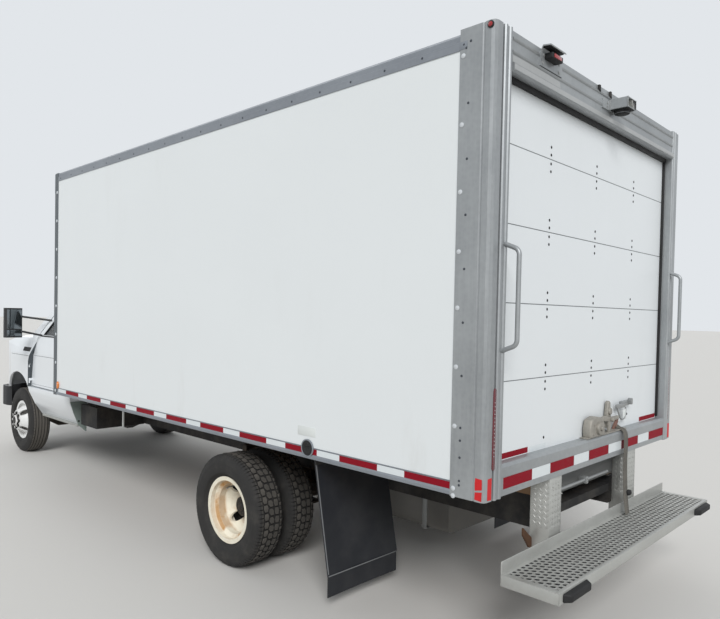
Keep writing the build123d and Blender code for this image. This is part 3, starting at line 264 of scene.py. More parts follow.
def copied(obj, name, matrix=None):
    twin = obj.copy()
    twin.data = obj.data.copy()
    twin.name = name
    bpy.context.collection.objects.link(twin)
    if matrix is not None:
        twin.data.transform(matrix)
        if matrix.determinant() < 0:
            twin.data.flip_normals()
    return twin


def joined(name, parts):
    # one object from one part or a list of them
    parts = parts if isinstance(parts, list) else [parts]
    onlySelect(*parts)
    if len(parts) > 1:
        bpy.ops.object.join()
    obj = bpy.context.object
    obj.name = name
    obj.data.name = name
    return obj


def repeated(name, source, moves):
    # one modelled piece copied by each matrix and joined to one mesh; the source goes
    parts = [copied(source, name, move) for move in moves]
    bpy.data.objects.remove(source)
    return joined(name, parts)


def scattered(name, source, places):
    return repeated(name, source, [Matrix.Translation(place) for place in places])


def turnedRound(name, source, centre, count):
    turns = [Matrix.Rotation(2 * math.pi * n / count, 4, "Y") for n in range(count)]
    return repeated(name, source, [Matrix.Translation(centre) @ turn for turn in turns])


def mirrored(obj):
    return copied(obj, obj.name, mirrorY)


def paint(obj, material):
    obj.data.materials.clear()
    obj.data.materials.append(material)
    for face in obj.data.polygons:
        face.material_index = 0


def finished(name, parts, material, rider="body"):
    # one named piece with its finish, its body and its slot
    obj = joined(name, parts)
    paint(obj, material)
    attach(obj, rider)
    return obj


doorRiders = ("left_cab_door", "right_cab_door")
frontRiders = ("left_front_wheel", "right_front_wheel")
rearRiders = ("left_rear_wheels", "right_rear_wheels")


def bothSides(stem, parts, material, riders=("body", "body")):
    # the modelled left piece and its mirror image
    left = joined(stem, parts)
    right = copied(left, "right_" + stem, mirrorY)
    return (finished("left_" + stem, left, material, riders[0]),
            finished("right_" + stem, right, material, riders[1]))


def nodeCopy(node, name):
    # a CAD node's mesh as a piece of its own
    obj = copied(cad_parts[node], name)
    obj.parent = None
    obj.matrix_world = Matrix.Identity(4)
    return obj


def softSkin(node, width, segments, material, rider="body"):
    # a merged copy of a CAD node with its sharp edges rounded; it stands for the node
    obj = nodeCopy(node, node + "_skin")
    with editing(obj):
        bpy.ops.mesh.remove_doubles(threshold=0.00005)
        bpy.ops.mesh.dissolve_limited(angle_limit=math.radians(1))
    smooth(bevelled(obj, width, segments, 28), 40)
    modified(obj, "WEIGHTED_NORMAL", keep_sharp=True)
    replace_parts(finished(obj.name, obj, material, rider), node)


# shader tools

def shade(red, green, blue):
    # a screen colour, 0 to 255, as Blender's linear colour
    def straight(value):
        value = value / 255
        return value / 12.92 if value <= 0.04045 else ((value + 0.055) / 1.055) ** 2.4
    return (straight(red), straight(green), straight(blue), 1.0)


def scaledShade(colour, factor):
    return tuple(min(1, c * factor) for c in colour[:3]) + (1,)


class Wire:
    # one output socket; sums on wires add their Math nodes
    def __init__(self, tree, socket):
        self.tree = tree
        self.socket = socket

    def math(self, operation, first, second=None, clamp=False):
        node = self.tree.nodes.new("ShaderNodeMath")
        node.operation = operation
        node.use_clamp = clamp
        for socket, value in zip(node.inputs, (first, second)):
            if isinstance(value, Wire):
                self.tree.links.new(value.socket, socket)
            elif value is not None:
                socket.default_value = value
        return Wire(self.tree, node.outputs[0])

    def __add__(self, other):
        return self.math("ADD", self, other)

    def __sub__(self, other):
        return self.math("SUBTRACT", self, other)

    def __mul__(self, other):
        return self.math("MULTIPLY", self, other)

    def __truediv__(self, other):
        return self.math("DIVIDE", self, other)

    def clamped(self):
        return self.math("ADD", self, 0.0, clamp=True)

    def most(self, other):
        return self.math("MAXIMUM", self, other)

    def size(self):
        return self.math("ABSOLUTE", self)

    def wrapped(self, pitch):
        # distance to the nearest whole multiple of a pitch
        return self.math("PINGPONG", self, pitch / 2)


class Finish:
    # a material whose shader is fed by wires
    def __init__(self, name, colour, roughness=0.5, metallic=0.0, **constants):
        self.material = bpy.data.materials.new(name)
        self.material.use_nodes = True
        self.tree = self.material.node_tree
        self.shader = self.tree.nodes["Principled BSDF"]
        constants.update(Base_Color=colour, Roughness=roughness, Metallic=metallic)
        for key, value in constants.items():
            self.shader.inputs[key.replace("_", " ")].default_value = value
        self.coordinates = self.add("TexCoord", output="Object")

    def add(self, kind, settings=None, sockets=None, output=0):
        node = self.tree.nodes.new("ShaderNode" + kind)
        for key, value in (settings or {}).items():
            setattr(node, key, value)
        for key, value in (sockets or {}).items():
            if isinstance(value, Wire):
                self.tree.links.new(value.socket, node.inputs[key])
            else:
                node.inputs[key].default_value = value
        return Wire(self.tree, node.outputs[output])

    def along(self, letter):
        return self.add("SeparateXYZ", sockets={0: self.coordinates}, output="XYZ".index(letter))

    def fromAxle(self, axleX):
        # distance out from a wheel's axle
        x = self.along("X") - axleX
        z = self.along("Z") - tyreRadius
        return self.coordinates.math("SQRT", x * x + z * z)

    def noise(self, scale, detail=3, stretch=None, roughness=0.5):
        vector = self.coordinates
        if stretch:
            vector = self.add("Mapping", sockets={"Vector": vector, "Scale": stretch})
        return self.add("TexNoise", sockets={"Vector": vector, "Scale": scale, "Detail": detail,
                                             "Roughness": roughness})

    def cells(self, scale):
        return self.add("TexVoronoi", {"feature": "F1"}, {"Vector": self.coordinates, "Scale": scale})

    def spread(self, value, low, high, start=0.0, end=1.0):
        # a value read between two limits, held at both ends
        return self.add("MapRange", {"interpolation_type": "SMOOTHSTEP"},
                        {0: value, 1: low, 2: high, 3: start, 4: end})

    def mix(self, factor, first, second):
        return self.add("Mix", {"data_type": "RGBA"}, {0: factor, 6: first, 7: second}, 2)

    def feed(self, name, value):
        self.tree.links.new(value.socket, self.shader.inputs[name])

    def bump(self, height, distance, strength=1.0):
        self.feed("Normal", self.add("Bump", sockets={"Height": height, "Distance": distance,
                                                      "Strength": strength}))


# places read from the frame

wallLow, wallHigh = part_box("left_wall")
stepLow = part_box("rear_step")[0]
doorLow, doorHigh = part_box("cargo_door")
railLow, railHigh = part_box("left_side_frame")
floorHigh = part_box("box_floor")[1]
frontTyreLow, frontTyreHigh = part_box("left_front_tyre")
rearTyreLow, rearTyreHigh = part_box("left_rear_tyres")

postLength = 0.186
backX = wallLow[0] - postLength
frontX, halfWidth, roofZ = railHigh
railBottomZ = railLow[2]
wallFrontX, wallTopZ, wallBottomZ = wallHigh[0], wallHigh[2], wallLow[2]
floorZ = floorHigh[2]
tyreRadius = (frontTyreHigh[2] - frontTyreLow[2]) / 2
frontAxleX = (frontTyreLow[0] + frontTyreHigh[0]) / 2
rearAxleX = (rearTyreLow[0] + rearTyreHigh[0]) / 2
doorHalf = doorHigh[1] + 0.004
headerZ = roofZ - 0.177


# materials

def plainFinish(name, colour, roughness, metallic=0.0, grain=0.06, scale=9.0, **constants):
    # a colour that varies a little, for pieces with no marked wear
    finish = Finish(name, colour, roughness, metallic, **constants)
    mottle = finish.noise(scale, 4)
    finish.feed("Base Color", finish.mix(mottle, scaledShade(colour, 1 - 2.5 * grain),
                                         scaledShade(colour, 1 + 2.5 * grain)))
    finish.feed("Roughness", finish.spread(mottle, 0.2, 0.8, roughness - grain, roughness + grain))
    return finish.material


def whitePanels(name, colour, dust):
    # painted sheet with faint clouds and a little grime near its foot
    finish = Finish(name, colour, 0.34, 0.0, Coat_Weight=0.15, Coat_Roughness=0.25)
    cloud = finish.noise(0.9, 3, (1, 1, 1.6))
    grime = finish.noise(3.5, 6, (1, 1, 0.25), 0.65)
    low = finish.spread(finish.along("Z"), wallBottomZ, wallBottomZ + 0.5, 1.0, 0.0)
    worn = (finish.spread(grime, 0.55, 0.85) * (low * 0.22 + 0.05)).clamped()
    soft = finish.mix(cloud, colour, scaledShade(colour, 0.955))
    finish.feed("Base Color", finish.mix(worn, soft, dust))
    finish.feed("Roughness", finish.spread(grime, 0.3, 0.8, 0.3, 0.46))
    finish.bump(cloud, 0.004, 0.35)
    return finish.material


def streakedMetal(name, dark, light, metallic, stretch, rough=0.42):
    # bare metal with streaks, soft patches and a fine spangle
    finish = Finish(name, light, rough, metallic)
    streak = finish.noise(14, 4, stretch, 0.6)
    blend = streak * 0.28 + finish.noise(2.2, 3) * 0.62 + finish.cells(45) * 0.10
    finish.feed("Base Color", finish.mix(blend.clamped(), dark, light))
    finish.feed("Roughness", finish.spread(streak, 0.25, 0.75, rough - 0.04, rough + 0.08))
    finish.bump(streak, 0.0002, 0.3)
    return finish.material


def dustyBlack(name, colour, dust, rough=0.75, reach=1.0, scale=7.0):
    finish = Finish(name, colour, rough)
    cloud = finish.noise(scale, 5, None, 0.62)
    finish.feed("Base Color", finish.mix(finish.spread(cloud, 0.35, 0.75, 0.0, reach), colour, dust))
    finish.bump(finish.noise(160, 2), 0.0004, 0.5)
    return finish.material


def tyreRubber(name, axleX):
    # dust gathers on the tread and is thin on the wall
    finish = Finish(name, shade(46, 43, 40), 0.82)
    crown = finish.spread(finish.fromAxle(axleX), tyreRadius - 0.006, tyreRadius - 0.001)
    cloud = finish.noise(11, 5, None, 0.65)
    dusty = (crown * 0.75 + finish.spread(cloud, 0.45, 0.85) * 0.25).clamped()
    finish.feed("Base Color", finish.mix(dusty, shade(35, 34, 33), shade(97, 93, 87)))
    finish.bump(finish.noise(120, 2), 0.0005, 0.5)
    return finish.material


def rustedRim(name, paintColour, rust, amount, axleX):
    # rust spots near the hub, and a broken ring of it round the dish
    finish = Finish(name, paintColour, 0.62, Specular_IOR_Level=0.3)
    radius = finish.fromAxle(axleX)
    near = finish.spread(radius, 0.15, 0.06)
    cloud = finish.noise(26, 6, None, 0.7)
    spots = finish.spread(cloud, 0.62 - 0.1 * amount, 0.72)
    ring = finish.spread((radius - 0.178).size(), 0.006, 0.020, 1.0, 0.0)
    ringed = ring * finish.spread(finish.noise(9, 4), 0.38, 0.62) * 0.55
    rusty = (spots * (near * amount + 0.12 * amount) + (near * 0.18 + ringed) * amount).clamped()
    finish.feed("Base Color", finish.mix(rusty, paintColour, rust))
    finish.feed("Roughness", finish.spread(rusty, 0.0, 1.0, 0.6, 0.85))
    finish.bump(cloud, 0.0006, 0.4)
    return finish.material


def lens(name, colour, alpha=1.0):
    finish = Finish(name, colour, 0.12, 0.0, Coat_Weight=0.6, Coat_Roughness=0.05, Alpha=alpha)
    finish.bump(finish.along("Z").wrapped(0.008), 0.6, 0.25)
    return finish.material


def woodBoards(name):
    finish = Finish(name, shade(150, 116, 82), 0.62)
    grain = finish.noise(9, 6, (0.25, 5, 1), 0.6)
    seam = finish.spread(finish.along("Y").wrapped(0.06), 0.0, 0.0015, 1.0, 0.0)
    base = finish.mix(grain, shade(118, 88, 60), shade(168, 134, 98))
    finish.feed("Base Color", finish.mix(seam, base, shade(52, 40, 30)))
    finish.bump(seam * -1.0 + grain * 0.15, 0.002, 0.6)
    return finish.material


def wovenCloth(name, dark, light, pitch):
    finish = Finish(name, dark, 0.9)
    warp = finish.along("X").wrapped(pitch) + finish.along("Z").wrapped(pitch)
    weave = (warp + finish.along("Y").wrapped(pitch)) / pitch
    cloud = finish.noise(12, 4)
    finish.feed("Base Color", finish.mix((weave * 0.4 + cloud * 0.5).clamped(), dark, light))
    finish.bump(weave, 0.0006, 0.6)
    return finish.material


boxWhite = whitePanels("box_panel_white", shade(224, 228, 229), shade(150, 140, 122))
doorWhite = whitePanels("door_panel_white", shade(222, 226, 228), shade(158, 152, 140))
railMetal = streakedMetal("rail_metal", shade(106, 111, 118), shade(160, 165, 171), 0.42, (0.4, 1, 6))
postMetal = streakedMetal("post_metal", shade(116, 120, 123), shade(186, 189, 190), 0.5, (5, 5, 0.35))
# a lighter copy of the post metal, a painted highlight where the header lip and patches are lit
postHighlight = streakedMetal("post_highlight_metal", shade(150, 152, 152), shade(196, 197, 196), 0.45, (3, 3, 3))
stepMetal = streakedMetal("step_metal", shade(150, 150, 146), shade(196, 197, 193), 0.4, (2, 0.5, 2))
chassisBlack = dustyBlack("chassis_black_dusty", shade(26, 26, 27), shade(60, 57, 53))
axleBlack = dustyBlack("axle_black_dusty", shade(38, 35, 33), shade(92, 78, 64), 0.8, 0.8, 12)
flapRubber = dustyBlack("flap_rubber_dusty", shade(22, 25, 31), shade(56, 56, 58), 0.55, 0.5, 4)
# bolt metal made light as a painted highlight, the glint of sunlit bolts on the side
litBolt = plainFinish("bolt_metal_painted_highlight", shade(202, 206, 209), 0.35, 0.2)
darkScrew = plainFinish("screw_dark", shade(70, 74, 80), 0.35, 0.6)
boltMetal = plainFinish("bolt_metal", shade(150, 152, 152), 0.4, 0.5)
castMetal = plainFinish("cast_metal", shade(108, 100, 92), 0.6, 0.35, 0.14, 40)
wornCast = plainFinish("worn_cast", shade(150, 146, 138), 0.55, 0.35, 0.12, 50)
brownSteel = plainFinish("brown_steel", shade(84, 58, 40), 0.75, 0.1, 0.16, 25)
pinkSteel = plainFinish("pink_steel", shade(132, 100, 90), 0.7, 0.15, 0.12, 40)
tankMetal = plainFinish("tank_metal", shade(110, 108, 104), 0.6, 0.3, 0.1)
exhaustMetal = plainFinish("exhaust_metal", shade(128, 112, 98), 0.6, 0.45, 0.14, 14)
# the front corner trim's grey, darkened as painted shade and a painted dark reflection
cornerShadeGrey = plainFinish("corner_grey_painted_shade", shade(92, 98, 102), 0.5, 0.35, 0.05, 12)
# grey-green end panel, darkened as painted shade on its rear-facing face
endPanelShade = plainFinish("end_panel_grey_painted_shade", shade(134, 146, 141), 0.6, 0.1, 0.06, 12)
underGrey = plainFinish("under_grey", shade(104, 105, 104), 0.6, 0.3, 0.08, 12)
# painted shade on the fender's rear-facing step and in the body creases, and a dark line low on the door
seamShade = plainFinish("seam_painted_shade", shade(78, 84, 88), 0.7)
seamGrey = plainFinish("seam_grey", shade(120, 124, 126), 0.7)
grilleGrey = plainFinish("grille_grey", shade(58, 60, 62), 0.45)
holeShade = plainFinish("hole_shade", shade(44, 45, 47), 0.7, 0.2)
hubBlack = plainFinish("hub_black", shade(36, 34, 33), 0.5, 0.2)
trimBlack = plainFinish("trim_black_plain", shade(30, 31, 33), 0.55, 0.0, 0.05, 60)
softBlack = plainFinish("seal_black", shade(20, 20, 21), 0.7)
# a painted highlight for the flap's lit outer edge and crease
flapHighlight = plainFinish("flap_edge_highlight", shade(112, 114, 116), 0.6, 0.0, 0.08, 20)
cabWhite = plainFinish("cab_white_gloss", shade(222, 226, 229), 0.3, 0.0, 0.01, 2.5,
                       Coat_Weight=0.7, Coat_Roughness=0.08)
cabGlass = Finish("cab_glass_tinted", shade(20, 26, 27), 0.04, 0.0, Alpha=0.5, Coat_Weight=0.5).material
mirrorGlass = plainFinish("mirror_glass", shade(120, 126, 130), 0.06, 0.95, 0.01)
tapeRed = plainFinish("tape_red", shade(132, 4, 26), 0.62, 0.0, 0.05, 30, Specular_IOR_Level=0.2)
tapeWhite = plainFinish("tape_white", shade(214, 220, 222), 0.3, 0.0, 0.02, 30, Coat_Weight=0.5)
patchRed = plainFinish("patch_red", shade(198, 18, 26), 0.5, 0.0, 0.06, 60)
plateWhite = plainFinish("blank_plate", shade(212, 216, 214), 0.4, 0.0, 0.02)
stripRed = lens("strip_red", shade(92, 6, 24))
redLens = lens("red_lens", shade(150, 14, 20))
amberLens = lens("amber_lens", shade(214, 118, 24))
clearLens = lens("clear_lens", shade(206, 212, 214), 0.55)
tyreFront = tyreRubber("tyre_front_rubber", frontAxleX)
tyreRear = tyreRubber("tyre_rear_rubber", rearAxleX)
rimFront = rustedRim("rim_front_paint", shade(224, 225, 224), shade(136, 96, 60), 0.5, frontAxleX)
rimRear = rustedRim("rim_rear_paint", shade(232, 226, 208), shade(172, 122, 58), 1.5, rearAxleX)
floorWood = woodBoards("floor_boards")
seatCloth = wovenCloth("seat_cloth", shade(62, 62, 64), shade(96, 96, 98), 0.004)
strapCloth = wovenCloth("strap_webbing", shade(72, 70, 66), shade(112, 108, 100), 0.003)
nodesOfFinish = (
    (chassisBlack, "chassis_frame engine"), (axleBlack, "front_axle rear_axle"),
    (tankMetal, "fuel_tank"), (exhaustMetal, "exhaust"), (floorWood, "box_floor"),
    (boxWhite, "left_wall right_wall front_wall box_roof"), (doorWhite, "cargo_door"),
    (railMetal, "left_side_frame right_side_frame"), (postMetal, "rear_frame"),
    (stepMetal, "rear_step"), (strapCloth, "pull_strap"), (flapRubber, "mud_flaps"),
    (castMetal, "door_latch left_knuckle right_knuckle"),
    (rimFront, "left_front_rim right_front_rim"), (rimRear, "left_rear_rims right_rear_rims"),
    (tyreFront, "left_front_tyre right_front_tyre"), (tyreRear, "left_rear_tyres right_rear_tyres"),
    (cabWhite, "cab_shell hood left_fender right_fender front_panel left_door right_door"),
    (cabGlass, "windscreen left_door_glass right_door_glass"),
    (trimBlack, "front_bumper left_mirror right_mirror dashboard"),
    (seatCloth, "seats"), (redLens, "lamps"),
)
for material, nodeNames in nodesOfFinish:
    for nodeName in nodeNames.split():
        paint(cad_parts[nodeName], material)
print("materials made")


# freight body: screws, bolts, tape, patches and lamps

def boxX(distance):
    # a place along the truck, counted forward from the rear face of the posts
    return backX + distance


screws = {
    "railPitch": 0.241, "railStart": 0.165, "railZ": roofZ - 0.057, "frontPitch": 0.273,
    "postX": 0.135, "postZ": (2.657, 2.404, 2.149, 1.902, 1.656, 1.411, 1.171, 1.112, 1.033, 0.925, 0.905),
    "boltX": 0.167, "boltZ": (2.877, 2.563, 2.256, 1.982, 1.723, 1.450, 1.175, 0.885, 0.850),
}
railCount = int((frontX - boxX(screws["railStart"]) - 0.03) / screws["railPitch"]) + 1
screwPlaces = [(boxX(screws["railStart"]) + n * screws["railPitch"], halfWidth, screws["railZ"])
               for n in range(railCount)]
screwPlaces += [(boxX(screws["postX"]), halfWidth, z) for z in screws["postZ"]]
screwPlaces += [(boxX(0.128), halfWidth, roofZ - 0.050), (boxX(0.152), halfWidth, roofZ - 0.075)]
boltPlaces = [(boxX(screws["boltX"]), halfWidth, z) for z in screws["boltZ"]]
cornerPlaces = [(frontX - 0.060, halfWidth, wallBottomZ - 0.03 + n * screws["frontPitch"])
                for n in range(int((roofZ - wallBottomZ) / screws["frontPitch"]) + 1)]
# the post and corner bolts take the lightened bolt metal, a painted highlight
for stem, places, radius, height, sides, material in (
        ("wall_screws", screwPlaces, 0.006, 0.004, 10, darkScrew),
        ("post_bolts", boltPlaces, 0.0115, 0.007, 14, litBolt),
        ("corner_bolts", cornerPlaces, 0.014, 0.010, 14, litBolt)):
    bothSides(stem, scattered(stem, dome(stem, origin, leftward, radius, height, sides), places), material)

# the top rail laps over the rear post, and a folded plate closes the corner of the roof behind it
bothSides("rail_lap", box("rail_lap", (boxX(0.146), halfWidth - 0.002, wallTopZ + 0.002),
                          (boxX(0.190), halfWidth + 0.0015, roofZ - 0.043), 0.0006), railMetal)
bothSides("roof_corner", box("roof_corner", (boxX(0.094), 1.060, roofZ - 0.016),
                             (boxX(0.198), 1.198, roofZ - 0.003), 0.002), railMetal)

tape = {
    "red": 0.2765, "white": 0.1805, "pitch": 0.4572, "start": boxX(0.1865), "face": halfWidth - 0.0042,
    "low": railBottomZ + 0.030, "high": railBottomZ + 0.063, "thick": 0.0007,
    "sillLow": railBottomZ + 0.035, "sillHigh": railBottomZ + 0.089, "sillX": boxX(0.0024),
}
sideCount = int((wallFrontX - tape["start"]) / tape["pitch"] + 0.05)
for name, first, length, material in (("side_tape_red", 0.0, tape["red"], tapeRed),
                                      ("side_tape_white", tape["red"], tape["white"], tapeWhite)):
    start = tape["start"] + first
    stripe = box(name, (start, tape["face"], tape["low"]),
                 (start + length, tape["face"] + tape["thick"], tape["high"]), 0.0002, 1)
    steps = [(n * tape["pitch"], 0, 0) for n in range(sideCount)]
    bothSides(name, scattered(name, stripe, steps), material)
for name, starts, length, material in (
        ("sill_tape_red", (1.052, 0.590, 0.127, -0.340, -0.803), 0.272, tapeRed),
        ("sill_tape_white", (0.780, 0.312, -0.150, -0.615), 0.190, tapeWhite)):
    finished(name, [box(name, (tape["sillX"], start - length, tape["sillLow"]),
                        (tape["sillX"] + tape["thick"], start, tape["sillHigh"]), 0.0002, 1)
                    for start in starts], material)
doorFoot = (doorLow[0], 0, floorZ)
finished("door_tape_red", [box("door_tape", (-0.0006, y, 0.004), (0, y + 0.29, 0.032), start=doorFoot)
                           for y in (doorHalf - 0.34, -doorHalf + 0.02)], tapeRed)
finished("door_tape_white", box("door_tape", (-0.0006, doorHalf - 0.53, 0.004),
                                (0, doorHalf - 0.35, 0.03), start=doorFoot), tapeWhite)

postFoot = (backX, halfWidth, railBottomZ)
patches = [plate("patch", flatOn("y", 0, pairs, postFoot), (0, 0.0008, 0), 0.0002) for pairs in (
    ((0.012, 0.059), (0.049, 0.051), (0.050, 0.083), (0.048, 0.108), (0.013, 0.106)),
    ((0.014, 0.006), (0.050, 0.010), (0.049, 0.043), (0.012, 0.049)))]
patches.append(plate("patch", flatOn("x", 0, ((-0.026, 0.009), (-0.059, 0.006), (-0.060, 0.108),
                                              (-0.027, 0.105)), postFoot), (-0.0008, 0, 0), 0.0002))
bothSides("post_patches", patches, patchRed)

strip = {"low": 0.986, "high": 1.361, "half": 0.0125, "y": halfWidth - 0.069, "x": backX - 0.003,
         "dots": 15, "dotInset": 0.065}


def slotOutline(steps=6):
    # an upright slot: a half round over and under two straight sides
    half = strip["half"]
    return [(strip["x"], strip["y"] + half * math.cos(start + math.pi * n / steps),
             centre + half * math.sin(start + math.pi * n / steps))
            for centre, start in ((strip["high"] - half, 0), (strip["low"] + half, math.pi))
            for n in range(steps + 1)]


bothSides("strip_lamp", plate("strip_lamp", slotOutline(), (0.012, 0, 0), 0.0015, 2), stripRed)
dotPitch = (strip["high"] - strip["low"] - 2 * strip["dotInset"]) / (strip["dots"] - 1)
dotPlaces = [(strip["x"], strip["y"], strip["low"] + strip["dotInset"] + n * dotPitch)
             for n in range(strip["dots"])]
dots = scattered("led_dot", dome("led_dot", origin, backward, 0.0032, 0.002, 8), dotPlaces)
bothSides("strip_lamp_dots", dots, clearLens)

marker = (boxX(0.025), halfWidth, roofZ - 0.006)
bothSides("marker_ring", drum("marker_ring", (marker[0], marker[1] + 0.002, marker[2]), leftward,
                              0.0165, 0.007, 24, 0.002), softBlack)
bothSides("marker_lens", dome("marker_lens", (marker[0], marker[1] + 0.004, marker[2]), leftward,
                              0.011, 0.009, 20), redLens)

socket = {"x": boxX(1.178), "z": railBottomZ + 0.063, "ring": 0.052, "hole": 0.044}
rim = flatOn("z", socket["z"], (
    (socket["hole"], -0.003), (socket["hole"], 0.003), (socket["hole"] + 0.003, 0.0045),
    (socket["ring"], 0.002), (socket["ring"], -0.003), (socket["hole"], -0.003)),
    (socket["x"], halfWidth, 0))
bothSides("round_socket_rim", spun("socket_rim", rim, (socket["x"], 0, socket["z"]), leftward, 40),
          railMetal)
socketBack = drum("round_socket", (socket["x"], halfWidth - 0.0005, socket["z"]), leftward,
                  socket["hole"], 0.003, 40)
with editing(socketBack, lambda c, n: n.y > 0.9):
    bpy.ops.mesh.inset(thickness=0.014, depth=0.002)
    bpy.ops.mesh.inset(thickness=0.01, depth=-0.003)
bothSides("round_socket", socketBack, softBlack)
oval = [(0.021 * math.cos(2 * math.pi * n / 24), 0.036 * math.sin(2 * math.pi * n / 24)) for n in range(24)]
ovalPlaces = flatOn("y", halfWidth - 0.004, oval, (boxX(4.759), 0, 0.945))
bothSides("corner_marker", plate("corner_marker", ovalPlaces, (0, 0.014, 0), 0.006, 3), amberLens)
finished("blank_plate", box("blank_plate", (boxX(1.114), halfWidth - 0.0042, 0.978),
                            (boxX(1.266), halfWidth - 0.0022, 1.031), 0.0006), plateWhite)
print("freight body trim done")


# rear door: bolts, seals and the seam strips

panelStep = (headerZ + 0.077 - floorZ) / 5
seams = [floorZ + panelStep * n for n in range(1, 5)]
boltPlaces = [(doorLow[0], y, seam + offset) for seam in seams for y in (0.570, 0.010, -0.550)
              for offset in (-0.063, -0.023, 0.023, 0.063)]
boltPlaces += [(doorLow[0], 0.570, floorZ + 0.060), (doorLow[0], -0.550, floorZ + 0.075)]
doorBolt = dome("door_bolt", origin, backward, 0.0075, 0.004)
finished("door_bolts", scattered("door_bolts", doorBolt, boltPlaces), softBlack)
seals = [box("door_seal_top", (backX + 0.032, -doorHalf, headerZ - 0.024),
             (doorLow[0], doorHalf, headerZ + 0.004), 0.006)]
seals += [box("door_seal_side", (backX + 0.040, side * (doorHalf - 0.020), floorZ + 0.01),
              (doorLow[0], side * (doorHalf + 0.001), headerZ), 0.005) for side in (-1, 1)]
finished("door_seals", seals, softBlack)
finished("door_seam_shadows", [box("seam", (doorLow[0] + 0.0016, -doorHalf + 0.006, seam - 0.0025),
                                   (doorLow[0] + 0.0046, doorHalf - 0.006, seam + 0.0025))
                               for seam in seams], seamGrey)
print("rear door done")


# rear step: perforated deck, folded edges, tread plate brackets and rubber stops

step = {
    "back": boxX(-0.295), "front": boxX(-0.005), "half": 1.070, "top": 0.490, "bottom": 0.435,
    "kick": 0.550, "plate": 0.005, "rows": 9, "columns": 52, "rim": 0.0013,
    "bracketInner": 0.450, "bracketOuter": 0.582, "bracketDepth": 0.110,
}
stepBack, stepFront, stepHalf, stepTop, stepBottom = (
    step[key] for key in ("back", "front", "half", "top", "bottom"))
rowPitch = (stepFront - stepBack - 0.026) / step["rows"]
columnPitch = (2 * stepHalf - 0.03) / step["columns"]


def deckCell():
    # one six sided cell of the deck with a hole whose rim is drawn up
    long, wide = rowPitch / 3, columnPitch / 2
    corners = [(2 * long, 0), (long, wide), (-long, wide), (-2 * long, 0), (-long, -wide), (long, -wide)]
    points = []
    for here, there in zip(corners, corners[1:] + corners[:1]):
        points += [(here[0], here[1], 0), ((here[0] + there[0]) / 2, (here[1] + there[1]) / 2, 0)]
    cell = line("deck_cell", points, closed=True)
    with editing(cell, lambda c, n: True):
        bpy.ops.mesh.normals_make_consistent(inside=False)
        bpy.ops.mesh.inset(thickness=0.0045)
        bpy.ops.transform.tosphere(value=1)
        bpy.ops.mesh.inset(thickness=0.0012)
        bpy.ops.transform.translate(value=(0, 0, step["rim"]))
        bpy.ops.mesh.inset(thickness=0.0010)
        pushed((0, 0, -0.0025))
        bpy.ops.mesh.delete(type="FACE")
    if cell.data.polygons[0].normal.z < 0:
        cell.data.flip_normals()
    return cell


deckPlaces = [(stepBack + 0.013 + (row + 0.5) * rowPitch,
               -stepHalf + 0.015 + (column + 0.5 + 0.5 * (row % 2)) * columnPitch, stepTop - 0.0026)
              for row in range(step["rows"]) for column in range(step["columns"] - row % 2)]
deckField = scattered("deck_field", deckCell(), deckPlaces)
with editing(deckField):
    bpy.ops.mesh.remove_doubles(threshold=0.0001)
deck = [
    smooth(deckField, 50),
    box("deck_edge", (stepBack, -stepHalf, stepTop - 0.003), (stepBack + 0.022, stepHalf, stepTop), 0.0012),
    box("deck_edge", (stepFront - 0.022, -stepHalf, stepTop - 0.003), (stepFront, stepHalf, stepTop),
        0.0012),
    box("skirt", (stepBack, -stepHalf, stepBottom), (stepBack + step["plate"], stepHalf, stepTop - 0.001),
        0.0022, 3),
    box("skirt", (stepFront - step["plate"], -stepHalf, stepBottom), (stepFront, stepHalf, step["kick"]),
        0.0022, 3),
    box("skirt_lip", (stepBack, -stepHalf, stepBottom), (stepBack + 0.025, stepHalf, stepBottom + 0.004),
        0.0015),
]
for end in (-stepHalf, stepHalf):
    inward = -math.copysign(1, end)
    deck.append(box("deck_end", (stepBack, end, stepTop - 0.003),
                    (stepFront, end + 0.036 * inward, stepTop - 0.0004), 0.001))
    deck.append(box("skirt_end", (stepBack, end, stepBottom),
                    (stepFront, end + step["plate"] * inward, stepTop - 0.001), 0.002))
deck += [box("deck_rib", (stepBack + 0.006, y - 0.002, stepBottom + 0.006),
             (stepFront - 0.006, y + 0.002, stepTop - 0.008), 0.001) for y in (-0.80, -0.25, 0.25, 0.80)]
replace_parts(finished("step_deck", deck, stepMetal), "rear_step")
throat = spun("deck_throat", [(0.0120, 0, -0.0012), (0.0120, 0, -0.0125)], origin, skyward, 12)
finished("deck_throats", scattered("deck_throats", throat, deckPlaces), holeShade)


def lozengePlaces(width, height, pitch=0.030):
    # staggered rows that fill a face, as steps across and up, and which way each one leans
    across = int((width - pitch * 0.6) / pitch) + 1
    up = int((height - pitch * 0.6) / (pitch / 2)) + 1
    startA = (width - (across - 1) * pitch) / 2
    startB = (height - (up - 1) * pitch / 2) / 2
    return [(startA + a * pitch + (pitch / 2 if b % 2 else 0), startB + b * pitch / 2, b % 2)
            for b in range(up) for a in range(across - b % 2)]


def lozenge(turn):
    # one raised bar of the tread plate, pointed at both ends, lying in XY
    half, wide, tall = 0.011, 0.0032, 0.0014
    bar = plate("lozenge", flatOn("z", 0, ((-half, 0), (-half / 3, -wide), (half / 3, -wide), (half, 0),
                                           (half / 3, wide), (-half / 3, wide))), (0, 0, tall))
    bar.data.transform(Matrix.Rotation(math.radians(turn), 4, "Z"))
    with editing(bar, lambda c, n: n.z > 0.9):
        bpy.ops.transform.resize(value=(0.6, 0.6, 1), center_override=(0, 0, tall))
    return bar


